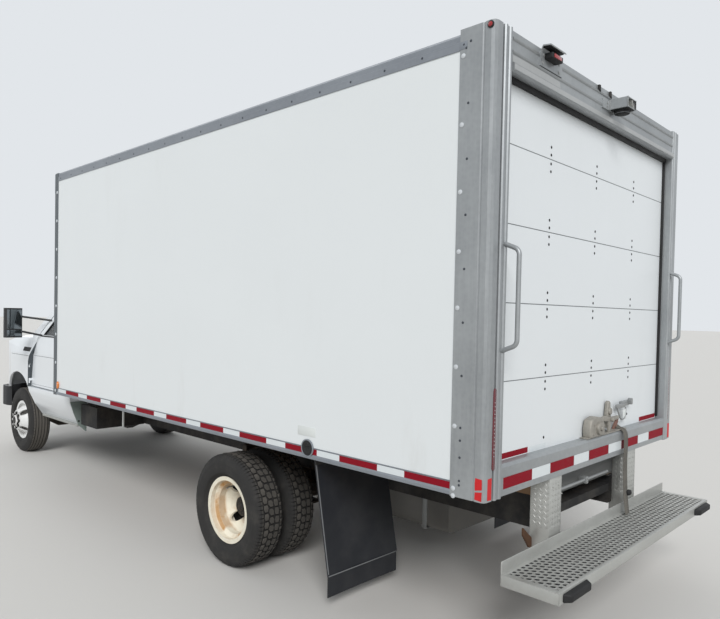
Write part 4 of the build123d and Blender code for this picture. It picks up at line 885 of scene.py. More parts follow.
def treadFace(corner, across, outward, width, height):
    # the lozenges of one upright face; corner is its lower left, and across its direction
    basis = Matrix((across, skyward, outward)).transposed().to_4x4()
    bars = [lozenge(45), lozenge(-45)]
    parts = [copied(bars[lean], "lozenge", Matrix.Translation(
        Vector(corner) + Vector(across) * a + Vector(skyward) * b) @ basis)
        for a, b, lean in lozengePlaces(width, height)]
    for bar in bars:
        bpy.data.objects.remove(bar)
    return parts


def stepBracket():
    # a folded channel open to the front, from the floor's end down to the step
    inner, outer, wall = step["bracketInner"], step["bracketOuter"], 0.006
    back, front = boxX(0.005), boxX(0.005) + step["bracketDepth"]
    low, high = stepBottom + 0.002, railBottomZ + 0.004
    parts = [plate("channel", flatOn("z", low, (
        (front, outer), (back, outer), (back, inner), (front, inner), (front, inner + wall),
        (back + wall, inner + wall), (back + wall, outer - wall), (front, outer - wall))),
        (0, 0, high - low), 0.002, 2)]
    faceLow, faceHeight = step["kick"] + 0.030, high - step["kick"] - 0.035
    for x, y, across, outward, width in (
            (back, outer, (0, -1, 0), backward, outer - inner),
            (front, outer, backward, leftward, front - back),
            (back, inner, forward, (0, -1, 0), front - back)):
        parts += treadFace((x, y, faceLow), across, outward, width, faceHeight)
    parts.append(box("step_arm", (stepBack + 0.02, inner + 0.012, stepBottom + 0.003),
                     (front, outer - 0.012, stepBottom + 0.043), 0.004))
    parts += [dome("bracket_bolt", (back, y, z), backward, 0.009, 0.006, 10)
              for z in (low + 0.07, high - 0.045) for y in (inner + 0.035, outer - 0.035)]
    return parts


bothSides("step_bracket", stepBracket(), stepMetal)
stop = box("step_stop", (stepLow[0], 0.790, stepBottom + 0.003), (stepBack + 0.002, 1.040, stepTop - 0.007))
with editing(stop, lambda c, n: n.x < -0.9):
    bpy.ops.transform.resize(value=(1, 0.78, 0.8), center_override=(stepLow[0], 0.915, 0.462))
bothSides("step_stop", bevelled(stop, 0.009, 3), softBlack)

rodAt, plateX = (boxX(0.040), 0, 0.757), boxX(0.095)
rodParts = [
    drum("hitch_rod", (rodAt[0], 0.105, rodAt[2]), leftward, 0.009, 0.66, 16, 0.001),
    box("clamp", (-0.018, 0.075, -0.020), (0.030, 0.100, 0.022), 0.004, start=rodAt),
    dome("clamp_bolt", (rodAt[0] - 0.018, 0.0875, rodAt[2] + 0.010), backward, 0.007, 0.006, 10),
    box("rod_hanger", (-0.006, 0.418, -0.030), (0.055, 0.430, 0.034), 0.002, start=rodAt)]
finished("latch_rod", rodParts, boltMetal)
finished("rear_cross_plate", box("cross_plate", (plateX, -step["bracketInner"] + 0.004, 0.705), (
    plateX + 0.008, step["bracketInner"] - 0.004, railBottomZ + 0.004), 0.002), underGrey)
brace = plate("step_brace", flatOn("x", boxX(0.100), (
    (0.580, 0.470), (0.602, 0.470), (0.668, 0.548), (0.668, 0.590), (0.580, 0.520))), (0.014, 0, 0), 0.002)
bothSides("step_brace", brace, brownSteel)
print("rear step done")


# door latch and pull strap

latch, armFoot = (doorLow[0], 0.022, floorZ), (doorLow[0], 0.022, floorZ + 0.082)
leverFoot = (doorLow[0], -0.200, floorZ)
housing = [
    plate("latch_housing", flatOn("x", -0.006, (
        (0.096, 0.002), (0.100, 0.060), (0.085, 0.108), (0.020, 0.122), (-0.050, 0.112), (-0.096, 0.074),
        (-0.100, 0.002)), latch), (-0.052, 0, 0), 0.010, 3),
    drum("latch_cam", at(latch, -0.062, -0.010, 0.052), forward, 0.036, 0.022, 24, 0.004),
    drum("latch_cam_pin", at(latch, -0.076, -0.010, 0.052), forward, 0.013, 0.012, 12, 0.002)]
housing += [dome("housing_bolt", at(latch, -0.058, y, z), backward, 0.008, 0.006, 8)
            for y, z in ((0.056, 0.022), (0.050, 0.075), (-0.060, 0.022), (-0.055, 0.080))]
housing.append(box("latch_foot", (-0.052, -0.44, 0.0005), (-0.002, 0.12, 0.007), 0.002, start=latch))
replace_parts(finished("latch_housing", housing, wornCast), "door_latch")
finished("latch_arm", [
    plate("latch_arm", flatOn("x", -0.046, (
        (-0.045, -0.016), (-0.045, 0.018), (-0.120, 0.030), (-0.200, 0.014), (-0.330, 0.012),
        (-0.335, -0.010), (-0.205, -0.014), (-0.110, -0.002)), armFoot), (0.014, 0, 0), 0.004, 2),
    plate("latch_lever", flatOn("x", -0.030, (
        (0.030, 0.030), (0.026, 0.120), (0.016, 0.184), (0, 0.192), (-0.016, 0.182), (-0.024, 0.120),
        (-0.030, 0.030)), leverFoot), (0.024, 0, 0), 0.006, 3),
    drum("latch_lever_head", at(leverFoot, -0.024, 0, 0.128), forward, 0.021, 0.034, 20, 0.004),
    drum("latch_arm_pin", at(armFoot, -0.050, -0.215, -0.002), forward, 0.012, 0.024, 14, 0.002),
    box("latch_leg", (-0.044, -0.215, 0.003), (-0.030, -0.185, 0.082), 0.004, start=latch),
], wornCast)
hasp = [box("hasp", low, high, edge, start=doorFoot) for low, high, edge in (
    ((-0.022, -0.538, 0.138), (-0.001, -0.418, 0.168), 0.003),
    ((-0.034, -0.438, 0.132), (-0.018, -0.310, 0.158), 0.004),
    ((-0.040, -0.545, 0.142), (-0.012, -0.523, 0.182), 0.004))]
hasp.append(tube("hasp_link", route(doorFoot, (
    (-0.020, -0.338, 0.135), (-0.030, -0.358, 0.085), (-0.030, -0.378, 0.058), (-0.028, -0.458, 0.060),
    (-0.024, -0.468, 0.130))), 0.005, sides=8))
finished("latch_hasp", hasp, boltMetal)
finished("latch_tag", box("latch_tag", (-0.029, -0.468, 0.055), (-0.026, -0.418, 0.118), 0.001,
                          start=doorFoot), plateWhite)
finished("latch_staple", tube("latch_staple", route(doorFoot, (
    (-0.012, -0.302, 0.006), (-0.030, -0.302, 0.066), (-0.030, -0.317, 0.090), (-0.030, -0.332, 0.066),
    (-0.012, -0.332, 0.006))), 0.007, sides=8), pinkSteel)

webbing = {"width": 0.058, "thick": 0.0035, "y": -0.352, "edge": 0.0008}
strapStart = (backX, webbing["y"], floorZ)
strapRoute = [(doorLow[0] - 0.012, webbing["y"], floorZ + 0.026)] + route(strapStart, (
    (0.030, 0, 0.012), (0.004, 0, 0.010), (-0.018, -0.001, -0.012), (-0.022, -0.001, -0.080),
    (-0.020, 0.001, -0.190), (-0.022, -0.001, -0.290), (-0.028, 0.004, -0.380), (-0.042, 0.020, -0.450),
    (-0.058, 0.044, -0.504)))
routeObject = curveMesh("strap_route", strapRoute, steps=10)
strapPath = [tuple(v.co) for v in routeObject.data.vertices]
bpy.data.objects.remove(routeObject)
lowEdge = [(x, y - webbing["width"] / 2, z) for x, y, z in strapPath]
strapSheet = ribbon("pull_webbing", lowEdge, webbing["width"])
strapSolid = bevelled(thickened(strapSheet, webbing["thick"]), webbing["edge"], 1)
pullStrap = finished("pull_webbing", smooth(outwards(strapSolid), 50), strapCloth)
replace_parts(pullStrap, "pull_strap")
knob = box("strap_knob", (-0.050, -0.052, -0.405), (-0.020, -0.004, -0.372), start=strapStart)
finished("strap_knob", smooth(bevelled(knob, 0.012, 3), 60), softBlack)


# header brackets: trim for the bent canopy and for the boxed arm with its round lamp

header = {"canopyRight": 0.670, "canopyLeft": 0.826, "armRight": -0.102, "armLeft": 0.016,
          "armTall": 0.056, "armReach": 0.114, "doorEdge": doorHalf - 0.001}
crest, armBase, lintel = (backX, 0, roofZ + 0.005), (backX, 0, headerZ + 0.076), (backX, 0, headerZ)
canopyRight, canopyLeft = header["canopyRight"], header["canopyLeft"]
finished("canopy_lamp", [
    box("canopy_lamp", (-0.053, canopyRight + 0.012, -0.050), (-0.008, canopyLeft - 0.034, -0.020),
        0.006, 3, crest),
    box("canopy_inside", (-0.050, canopyRight + 0.004, -0.003), (-0.016, canopyLeft - 0.004, 0),
        0.0008, start=crest)], softBlack)
finished("canopy_lens", box("canopy_lens", (-0.0555, canopyRight + 0.030, -0.044),
                            (-0.051, canopyLeft - 0.050, -0.026), 0.002, start=crest), redLens)
canopyEdge = [
    plate("canopy_cheek", flatOn("y", canopyLeft, (
        (-0.0105, -0.060), (-0.0105, -0.014), (-0.020, 0.0055), (-0.060, -0.0005), (-0.060, -0.0035),
        (-0.021, 0.002), (-0.0135, -0.015), (-0.0135, -0.060)), crest), (0, 0.0025, 0)),
    box("canopy_lip", (-0.0620, canopyRight, -0.0045), (-0.0595, canopyLeft, 0.0005), 0.0008, start=crest)]
canopyEdge += [dome("canopy_bolt", at(crest, -0.010, y, z), backward, 0.0095, 0.007)
               for y, z in ((0.808, -0.070), (0.800, -0.030), (0.640, -0.072), (0.640, -0.030))]
finished("canopy_edges", canopyEdge, boltMetal)
finished("canopy_seam", box("canopy_seam", (-0.0065, 0.606, -0.0895), (-0.0005, 0.829, -0.0865),
                            start=crest), softBlack)

armLeft, armRight = header["armLeft"], header["armRight"]
armTall, armReach = header["armTall"], header["armReach"]
armSide = [box("arm_edge", (-armReach - 0.002, low, 0), (-armReach + 0.006, high, armTall + 0.001), 0.001,
               start=armBase)
           for low, high in ((armLeft - 0.004, armLeft + 0.0015), (armRight - 0.0015, armRight + 0.004))]
armSide.append(box("arm_root", (-0.016, armLeft - 0.002, -0.003), (-0.004, armLeft + 0.0015, armTall),
                   0.001, start=armBase))
armSide += [dome("arm_bolt", at(armBase, -0.010, armLeft + 0.030, z), backward, 0.0075, 0.006, 10)
            for z in (0.012, armTall - 0.026)]
finished("arm_edges", armSide, boltMetal)
finished("arm_inside", [
    box("arm_back", (-0.092, armRight + 0.005, 0.005), (-0.088, armLeft - 0.005, armTall - 0.005), 0.001,
        start=armBase),
    plate("arm_web", flatOn("x", -0.112, (
        (-0.080, 0.005), (-0.072, 0.005), (-0.048, armTall - 0.006), (-0.058, armTall - 0.006)), armBase),
        (0.02, 0, 0), 0.0008)], stepMetal)
finished("arm_marker", drum("arm_marker", at(armBase, -0.098, -0.072, armTall - 0.020), backward,
                            0.011, 0.016, 20, 0.003), redLens)
lampAt = at(armBase, -0.060, (armLeft + armRight) / 2)
finished("arm_lamp", [
    drum("arm_lamp", at(lampAt, z=-0.011), skyward, 0.0428, 0.0230, 36, 0.005, 3),
    drum("arm_lamp_ring", at(lampAt, z=-0.0235), skyward, 0.033, 0.004, 32, 0.0015),
    box("arm_lamp_foot", (-0.052, -0.045, -0.004), (0.048, 0.045, 0), 0.001, start=lampAt)], softBlack)
finished("header_clips", [box("header_clip", low, high, edge, start=at(crest, y=y))
                          for low, high, edge in (((-0.012, -0.009, -0.030), (0, 0.009, 0.001), 0.002),
                                                  ((-0.010, -0.016, -0.034), (0, 0.004, -0.026), 0.001))
                          for y in (0.148, -0.001)], chassisBlack)
# painted highlights: light strips on the tops of the header ribs and along the lintel lip
finished("header_rib_highlights", [box("rib_highlight", (-0.0068, -header["doorEdge"], -drop),
                             (-0.0058, header["doorEdge"], 0.0035 - drop), start=crest)
                         for drop in (0.0345, 0.0945)], boltMetal)
finished("lip_highlight", box("lip_highlight", (-0.0146, -header["doorEdge"], 0.008),
                          (-0.0136, header["doorEdge"], 0.032), start=lintel),
         postHighlight)
# painted highlight: lighter patches on the header and its lip
finished("header_patch", [
    plate("header_patch", flatOn("x", -0.0005, (
        (doorHalf - 0.004, 0.044), (doorHalf - 0.004, 0.074), (0.860, 0.078), (0.610, 0.074),
        (0.600, 0.044)), lintel), (-0.0012, 0, 0)),
    box("lip_patch", (-0.0156, -1.040, 0.010), (-0.0145, -0.800, 0.030), start=lintel)],
    postHighlight)
print("header brackets done")


# mud flaps

flapLow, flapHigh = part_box("mud_flaps")
flap = {"top": flapHigh[2], "crease": 0.188, "bottom": flapLow[2], "inner": 0.580, "outer": 1.185,
        "thick": 0.006, "bow": 0.006, "columns": 8}
flapTop, flapCrease, flapInner, flapOuter = (flap[key] for key in ("top", "crease", "inner", "outer"))
lean = (flapHigh[0] - 0.010 - flapLow[0]) / (flapTop - flapCrease)


def flapX(z, back=0.006):
    # upright below the crease and leaning above it
    return flapLow[0] + 0.002 + max(0.0, z - flapCrease) * lean + back


def flapPlate(name, zs, inset, back):
    # a rubber sheet from rows at several heights, bowed a little between its edges
    points = [(flapX(z, back), flapInner + inset, z) for z in zs]
    sheet = ribbon(name, points, flapOuter - flapInner - 2 * inset, flap["columns"])
    for vertex in sheet.data.vertices:
        share = (vertex.co.y - flapInner) / (flapOuter - flapInner)
        fall = (flapTop - vertex.co.z) / (flapTop - flap["bottom"])
        vertex.co.x += flap["bow"] * math.sin(math.pi * share) * fall
    return smooth(thickened(sheet, flap["thick"]), 30)


upperFlap = flapPlate("flap_upper", (flapTop - 0.004, 0.75, 0.60, 0.45, 0.33, flapCrease + 0.012),
                      0.0, 0.003)
lowerFlap = flapPlate("flap_lower", (flapCrease + 0.030, flapCrease, 0.16, flap["bottom"] + 0.001),
                      0.004, 0.006)
# painted highlights: a light line along the crease and a strip down the outer edge
crease = box("flap_crease_highlight", (flapLow[0] + 0.0005, flapInner + 0.004, flapCrease + 0.008),
             (flapLow[0] + 0.004, flapOuter - 0.004, flapCrease + 0.014), 0.001)
edgeHighlight = plate("flap_edge_highlight", [(flapX(z) - 0.004, flapOuter - inset, z) for inset, z in (
    (0.010, flapTop - 0.01), (0.010, 0.21), (0.002, 0.21), (0.002, flapTop - 0.01))], (-0.003, 0, 0))
bothSides("flap_highlights", [crease, edgeHighlight], flapHighlight)
leftFlap = bothSides("mud_flap", [upperFlap, lowerFlap], flapRubber)[0]
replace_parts(leftFlap, "mud_flaps")
flapHead = (flapHigh[0], flapInner, flapTop)
flapBar = [box("flap_bar", (-0.022, 0, -0.05), (-0.012, flapOuter - flapInner, -0.012), 0.002,
               start=flapHead)]
flapBar += [dome("flap_bolt", at(flapHead, -0.022, 0.06 + n * 0.12, -0.031), backward, 0.009, 0.006, 8)
            for n in range(5)]
bothSides("flap_bar", flapBar, chassisBlack)
print("mud flaps done")


# tyres: a spun carcass with grooves, then one pitch of tread blocks set round it

tyre = {"half": (frontTyreHigh[1] - frontTyreLow[1]) / 2, "floor": 0.0105, "lip": 0.223, "seat": 0.203,
        "bead": 0.073, "rearPitches": 44, "frontPitches": 60, "groove": 0.0075, "inside": 0.0003}
treadTop, treadLine, floorRadius = tyreRadius - 0.0008, tyreRadius - 0.0002, tyreRadius - tyre["floor"]


def tyreOutline(middleY, grooves, floorHalf, crown):
    # half a cross section from the bead to the tread, then its mirror image
    bead, seat, lip, half = tyre["bead"], tyre["seat"], tyre["lip"], tyre["half"]
    side = [(bead, seat + 0.001), (bead + 0.004, lip - 0.002), (bead + 0.010, lip + 0.006),
            (bead + 0.017, lip + 0.016)]
    side += [(half - inwards, tyreRadius - down) for inwards, down in (
        (0.0085, 0.128), (0.0065, 0.126), (0.0035, 0.108), (0.0005, 0.090), (0.0002, 0.080),
        (0.0015, 0.064), (0.0012, 0.062), (0.0018, 0.058), (0.0042, 0.050), (0.0085, 0.036),
        (0.0140, 0.024), (0.0200, 0.015))]
    side += [(floorHalf, tyreRadius - crown)] + grooves
    points = [(0, middleY - y, z) for y, z in side] + [(0, middleY + y, z) for y, z in reversed(side)]
    return points + [points[0]]


def grooveSteps(y):
    # the stepped line of one groove, from its outer edge in
    return [(y + side * tyre["groove"] / 2 + shift, height) for side, shift, height in (
        (1, 0.0012, treadLine), (1, -0.0012, floorRadius), (-1, 0.0012, floorRadius),
        (-1, -0.0012, treadLine))]


def block(outline, low):
    # one tread block, a touch smaller at its top; x runs round the tyre and z out from the axle
    obj = plate("tread_block", [(x, y, low) for x, y in outline], (0, 0, treadTop - low))
    with editing(obj, lambda c, n: c.z > treadTop - 0.0001):
        bpy.ops.mesh.inset(thickness=0.0012)
        bpy.ops.transform.translate(value=(0, 0, 0.0006))
    return obj


def shoulderBlock(start, end, section):
    points = [(start, y, treadTop - down) for y, down in section]
    return plate("shoulder_block", points, (end - start, 0, 0))


def rearPitch():
    # a chunky pattern: a zigzag middle row, two rows of offset blocks and cut shoulders
    low = floorRadius - 0.004
    arc = 2 * math.pi * tyreRadius / tyre["rearPitches"]
    parts = [block([(-0.019, -0.016), (0.004, -0.019), (0.021, -0.006), (0.019, 0.016), (-0.004, 0.019),
                    (-0.021, 0.006)], low)]
    for side, shift in ((1, arc / 2), (-1, 0)):
        parts.append(block([(x + shift, side * y) for x, y in (
            (-0.020, 0.029), (0.001, 0.024), (0.022, 0.031), (0.020, 0.055), (-0.002, 0.059),
            (-0.022, 0.052))], low))
    section = [(0.066, treadTop - low), (0.066, 0), (0.074, 0.0005), (0.086, 0.0045), (0.0925, 0.0105),
               (0.0985, 0.0215), (0.1040, 0.0370), (0.1000, 0.0380), (0.0900, 0.0200)]
    long = (arc - 0.0085) / 2 - 0.0015
    for side, shift in ((1, 0), (-1, arc / 2)):
        for start in (-arc / 2 + 0.003, 0.0015):
            piece = shoulderBlock(start + shift, start + shift + long, section)
            if side < 0:
                piece.data.transform(mirrorY)
                piece.data.flip_normals()
            parts.append(piece)
    return joined("rear_tread", parts)


def frontPitch():
    # short cut lugs on both shoulders; the ribs between them are spun
    reach = math.pi * tyreRadius / tyre["frontPitches"] - 0.0025
    lug = shoulderBlock(-reach, reach, (
        (0.071, 0.013), (0.071, 0), (0.0785, 0.0012), (0.0875, 0.0052), (0.0935, 0.0115), (0.0985, 0.0220),
        (0.1025, 0.0330), (0.0990, 0.0340), (0.0890, 0.0190)))
    return joined("front_tread", [lug, mirrored(lug)])


def makeTyre(name, centre, pitchOf, count, grooves, floorHalf, crown):
    outline = route((centre.x, 0, centre.z), tyreOutline(centre.y, grooves, floorHalf, crown))
    carcass = spun(name, outline, centre, leftward, 88, 40)
    whole = joined(name, [carcass, turnedRound("tread", pitchOf(), centre, count)])
    outs = [math.hypot(v.co.x - centre.x, v.co.z - centre.z) for v in whole.data.vertices]
    share = min(1.0, (tyreRadius - tyre["inside"]) / max(outs))
    for vertex, out in zip(whole.data.vertices, outs):
        # no block stands out past the tyre's own radius
        if share < 1 and out > tyreRadius - 0.030:
            vertex.co.x = centre.x + (vertex.co.x - centre.x) * share
            vertex.co.z = centre.z + (vertex.co.z - centre.z) * share
    return whole


def treadSides(stem, parts, material, riders, nodes):
    for obj, node in zip(bothSides(stem, parts, material, riders), nodes):
        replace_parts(obj, node)


rearMiddle = (rearTyreLow[1] + rearTyreHigh[1]) / 2
dualStep = (rearTyreHigh[1] - rearTyreLow[1]) / 2 - tyre["half"]
outerTyre = makeTyre("outer_tyre", Vector((rearAxleX, rearMiddle + dualStep, tyreRadius)), rearPitch,
                     tyre["rearPitches"], [], 0.090, tyre["floor"])
innerTyre = copied(outerTyre, "inner_tyre", Matrix.Translation((0, -2 * dualStep, 0)))
treadSides("rear_tyres_tread", [outerTyre, innerTyre], tyreRear, rearRiders,
           ("left_rear_tyres", "right_rear_tyres"))
frontMiddle = (frontTyreLow[1] + frontTyreHigh[1]) / 2
frontGrooves = [(0.0690, treadLine - 0.0015)] + grooveSteps(0.0640) + grooveSteps(0.0330)
frontGrooves += [(0.0040, treadLine), (0.0028, floorRadius)]
frontTyre = makeTyre("front_tyre_tread", Vector((frontAxleX, frontMiddle, tyreRadius)), frontPitch,
                     tyre["frontPitches"], frontGrooves, 0.0885, 0.0110)
treadSides("front_tyre_tread", frontTyre, tyreFront, frontRiders, ("left_front_tyre", "right_front_tyre"))
print("tyres done")


# wheels: hubs, nuts and valves

wheel = {"frontCrown": frontMiddle + 0.146, "rearCrown": rearMiddle + 0.011, "rearEnd": rearMiddle + 0.1,
         "nutCircle": 0.0825, "nuts": 8, "nutRadius": 0.0145, "nutHeight": 0.020, "hub": 0.060}


def nutRing(name, centre):
    # nuts, each with a washer and the end of its stud, set round the hub
    tall, circle = wheel["nutHeight"], wheel["nutCircle"]
    nut = joined("wheel_nut", [
        drum("washer", (0, 0.0015, circle), leftward, 0.0170, 0.003, 20),
        drum("nut", (0, 0.003 + tall / 2, circle), leftward, wheel["nutRadius"], tall, 6, 0.0016),
        drum("stud", (0, 0.002 + tall, circle), leftward, 0.0070, 0.010, 12, 0.0015)])
    return turnedRound(name, nut, centre, wheel["nuts"])


def lathe(name, x, start, profile, steps=48):
    # a turned piece on an axle at x; the profile counts distance out from a start, and radius
    points = [(x, start + y, tyreRadius + r) for y, r in profile]
    return spun(name, points, (x, points[0][1], tyreRadius), leftward, steps, 35)


hub, crown = wheel["hub"], wheel["frontCrown"]
frontCap = lathe("front_hub_cap", frontAxleX, crown, (
    (-0.002, hub + 0.0065), (0.004, hub + 0.006), (0.0165, hub + 0.001), (0.0185, hub - 0.003),
    (0.0190, 0.044), (0.0290, 0.0425), (0.0315, 0.038), (0.0325, 0.020), (0.0328, 0.0004)))
bothSides("front_hub", [frontCap, nutRing("front_nuts", (frontAxleX, crown, tyreRadius))], hubBlack,
          riders=frontRiders)
crown, end = wheel["rearCrown"], wheel["rearEnd"] - wheel["rearCrown"]
rearCap = lathe("rear_hub_cap", rearAxleX, crown, (
    (-0.002, hub + 0.0060), (0.006, hub + 0.0055), (0.012, hub + 0.0012), (end - 0.012, hub + 0.0012),
    (end - 0.011, hub + 0.004), (end - 0.001, hub + 0.004), (end + 0.002, hub), (end + 0.0025, 0.030),
    (end + 0.009, 0.028), (end + 0.012, 0.022), (end + 0.0125, 0.0004)))
flangeBolts = turnedRound("flange_bolts", dome("flange_bolt", (0, 0, 0.046), leftward, 0.0085, 0.008, 6),
                          (rearAxleX, wheel["rearEnd"] + 0.0015, tyreRadius), 8)
bothSides("rear_hub", [rearCap, nutRing("rear_nuts", (rearAxleX, crown, tyreRadius)), flangeBolts],
          hubBlack, riders=rearRiders)
for stem, start, places, material, riders in (
        ("rear_valve", (rearAxleX, rearMiddle, tyreRadius),
         ((0.118, 0.070, 0.118), (0.114, 0.125, 0.114), (0.108, 0.150, 0.108)), boltMetal, rearRiders),
        ("front_valve", (frontAxleX, frontMiddle, tyreRadius),
         ((0.113, 0.045, -0.113), (0.110, 0.092, -0.110)), softBlack, frontRiders)):
    bothSides(stem, tube(stem, route(start, places), 0.0045, sides=8), material, riders=riders)
print("wheels done")


# under the body: springs, dampers, brake drums and tank straps

spring = {"y": 0.470, "leafs": 6, "width": 0.064, "thick": 0.011, "half": 0.62, "rise": 0.05,
          "shorter": 0.14, "clips": 0.28}
springSeat, axleMiddle = (rearAxleX, spring["y"], tyreRadius + 0.142), (rearAxleX, 0, tyreRadius)


def leaf(n):
    # one leaf, shorter than the one above and bowed up at its ends
    half = spring["half"] * (1 - spring["shorter"] * n)
    path = [(half * quarter / 4, -spring["width"] / 2,
             spring["rise"] * (quarter / 4) ** 2 - n * spring["thick"]) for quarter in range(-4, 5)]
    sheet = ribbon("leaf", route(springSeat, path), spring["width"])
    return smooth(thickened(sheet, spring["thick"] * 0.86), 40)


leafParts = [leaf(n) for n in range(spring["leafs"])]
leafParts += [box("leaf_clip", (clip - 0.014, -0.038, -(spring["leafs"] - 1) * spring["thick"]),
                  (clip + 0.014, 0.038, 0.014), 0.003, start=springSeat)
              for clip in (-spring["clips"] * spring["half"], spring["clips"] * spring["half"])]
bothSides("rear_spring", leafParts, axleBlack)
axleBolts = [tube("axle_bolt", route(axleMiddle, ((x, y, 0.165), (x, y, -0.085))), 0.008, False, 8)
             for y in (spring["y"] - 0.042, spring["y"] + 0.042) for x in (-0.05, 0.05)]
axleBolts.append(box("bolt_plate", (-0.075, spring["y"] - 0.055, -0.082),
                     (0.075, spring["y"] + 0.055, -0.068), 0.003, start=axleMiddle))
bothSides("axle_bolts", axleBolts, axleBlack)
damperFoot, damperJoint, damperTop = (-0.16, 0.39, 0.02), (-0.24, 0.36, 0.19), (-0.29, 0.345, 0.29)
bothSides("rear_damper", [
    tube("damper_body", route(axleMiddle, (damperFoot, damperJoint)), 0.030, False, 16),
    tube("damper_rod", route(axleMiddle, (damperJoint, damperTop)), 0.018, False, 12)], chassisBlack)
bothSides("brake_drum", lathe("brake_drum", rearAxleX, rearMiddle, (
    (-0.215, 0.080), (-0.210, 0.152), (-0.200, 0.155), (-0.120, 0.155), (-0.112, 0.168), (-0.110, 0.080)),
    56), castMetal)
tankLow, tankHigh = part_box("fuel_tank")
straps = []
for share in (0.22, 0.78):
    strapFoot = (tankLow[0] + (tankHigh[0] - tankLow[0]) * share, 0, tankLow[2])
    straps.append(box("tank_strap", (-0.018, tankLow[1] - 0.003, -0.002),
                      (0.018, tankHigh[1] + 0.003, 0.002), 0.001, start=strapFoot))
    straps += [box("tank_strap", (-0.018, y, 0), (0.018, y + 0.004, tankHigh[2] - tankLow[2]), 0.001,
                   start=strapFoot) for y in (tankLow[1] - 0.003, tankHigh[1] - 0.001)]
finished("tank_straps", straps, boltMetal)
print("underbody done")


# cab sides, counted forward from the front axle: painted shade at the fender seam and creases, rubbers,
# handles, mirrors and rockers

axle = (frontAxleX, 0, 0)
corner = {"side": 0.075, "round": 0.010, "wall": 0.003, "proud": 0.0006, "chamfer": 0.003}
bend, wall, chamfer = corner["round"], corner["wall"], corner["chamfer"]
frontEdge, sideEdge = frontX + 0.0002, halfWidth + corner["proud"]
innerEdge = halfWidth - corner["side"] - sideEdge
# front corner trim over the box's rounded corner, darkened with painted shade
cornerTrim = plate("corner_trim", flatOn("z", railBottomZ, (
    (wallFrontX - 0.004 - frontEdge, 0), (-bend, 0), (-chamfer, -chamfer), (0, -bend), (0, innerEdge),
    (-wall, innerEdge), (-wall, -bend), (-bend, -wall), (wallFrontX - 0.004 - frontEdge, -wall)),
    (frontEdge, sideEdge, 0)), (0, 0, roofZ - 0.004 - railBottomZ))
bothSides("corner_trim", cornerTrim, cornerShadeGrey)
bothSides("corner_cap", box("corner_cap", (frontEdge - 0.024, halfWidth - 0.060, roofZ - 0.190),
                            (frontEdge + 0.0015, sideEdge + 0.0012, roofZ - 0.003), 0.009),
          railMetal)

seam = {"back": -0.3222, "slope": 0.4929, "bend": 1.080, "proud": 0.0008, "line": 0.0035}
seamOuter = [(1.0243, 0.798), (1.0243, 1.080), (1.0243, 1.145), (1.0145, 1.180), (0.9945, 1.237),
             (0.9798, 1.280), (0.9725, 1.300)]
seamInner = [(0.9862, 0.798), (0.9862, 1.080), (0.9862, 1.150), (0.9785, 1.180), (0.9745, 1.237),
             (0.9718, 1.280), (0.9705, 1.300)]
# painted shade: a dark plate over the fender's rear-facing step beside the door
seamShadeBand = [(seam["back"] - max(0.0, z - seam["bend"]) * seam["slope"] - seam["proud"], y, z)
            for y, z in seamOuter + seamInner[::-1]]
bothSides("fender_seam_shade", plate("fender_seam_shade", route(axle, seamShadeBand), (-0.0012, 0, 0)), seamShade)
# painted shade: thin dark lines along the body creases, and one low on the door
bothSides("door_crease_shade", [
    box("crease", (-1.383, 0.9846, 1.1475), (-0.396, 0.9857, 1.1475 + seam["line"]), start=axle),
    box("low_line", (-1.383, 0.9846, 0.8260), (-0.356, 0.9856, 0.8285), start=axle)],
    seamShade, riders=doorRiders)
bothSides("fender_crease_shade", box("fender_crease_shade", (-0.345, 1.0246, 1.1400),
                               (0.200, 1.0257, 1.1400 + seam["line"]), start=axle), seamShade)
bothSides("blank_badge", plate("blank_badge", route(axle, (
    (-0.345, 1.0120, 1.190), (-0.140, 1.0120, 1.190), (-0.140, 0.9965, 1.235), (-0.345, 0.9965, 1.235))),
    (0, 0.0035, 0.0012), 0.0012), softBlack)

window = {"low": 1.385, "face": 0.948, "lean": 0.282, "rubber": 0.008}
rubberPath = [at(axle, x, window["face"] - (z - window["low"]) * window["lean"], z) for x, z in (
    (-0.590, window["low"]), (-1.130, 1.858), (-1.323, 1.868), (-1.323, window["low"]))]
bothSides("window_rubber", tube("window_rubber", rubberPath + rubberPath[:2], window["rubber"], False),
          softBlack, riders=doorRiders)
bothSides("belt_strip", box("belt_strip", (-1.345, 0.9600, 1.366), (-0.560, 0.9680, 1.380), 0.003,
                            start=axle), softBlack, riders=doorRiders)
bothSides("door_pull", box("door_pull", (-1.180, 0.9030, 1.060), (-0.760, 0.9170, 1.105), 0.010, 3, axle),
          trimBlack, riders=doorRiders)

handle = {"long": 0.150, "tall": 0.058, "cup": 0.003}
handleFoot = (frontAxleX - 1.318, 0, 1.082)
cup = box("handle_cup", (0, 0.9835, 0), (handle["long"], 0.9872, handle["tall"]), start=handleFoot)
with editing(cup, lambda c, n: n.y > 0.9):
    bpy.ops.mesh.inset(thickness=0.007, depth=0.0)
    bpy.ops.transform.translate(value=(0, -handle["cup"], 0))
paddle = box("handle_paddle", (0.010, 0.9868, 0.022),
             (handle["long"] - 0.010, 1.0060, handle["tall"] - 0.008), 0.006, 3, handleFoot)
lock = drum("door_lock", at(handleFoot, 0.075, 0.987, -0.028), leftward, 0.012, 0.006, 20, 0.0015)
bothSides("door_handle", [cup, paddle, lock], trimBlack, riders=doorRiders)

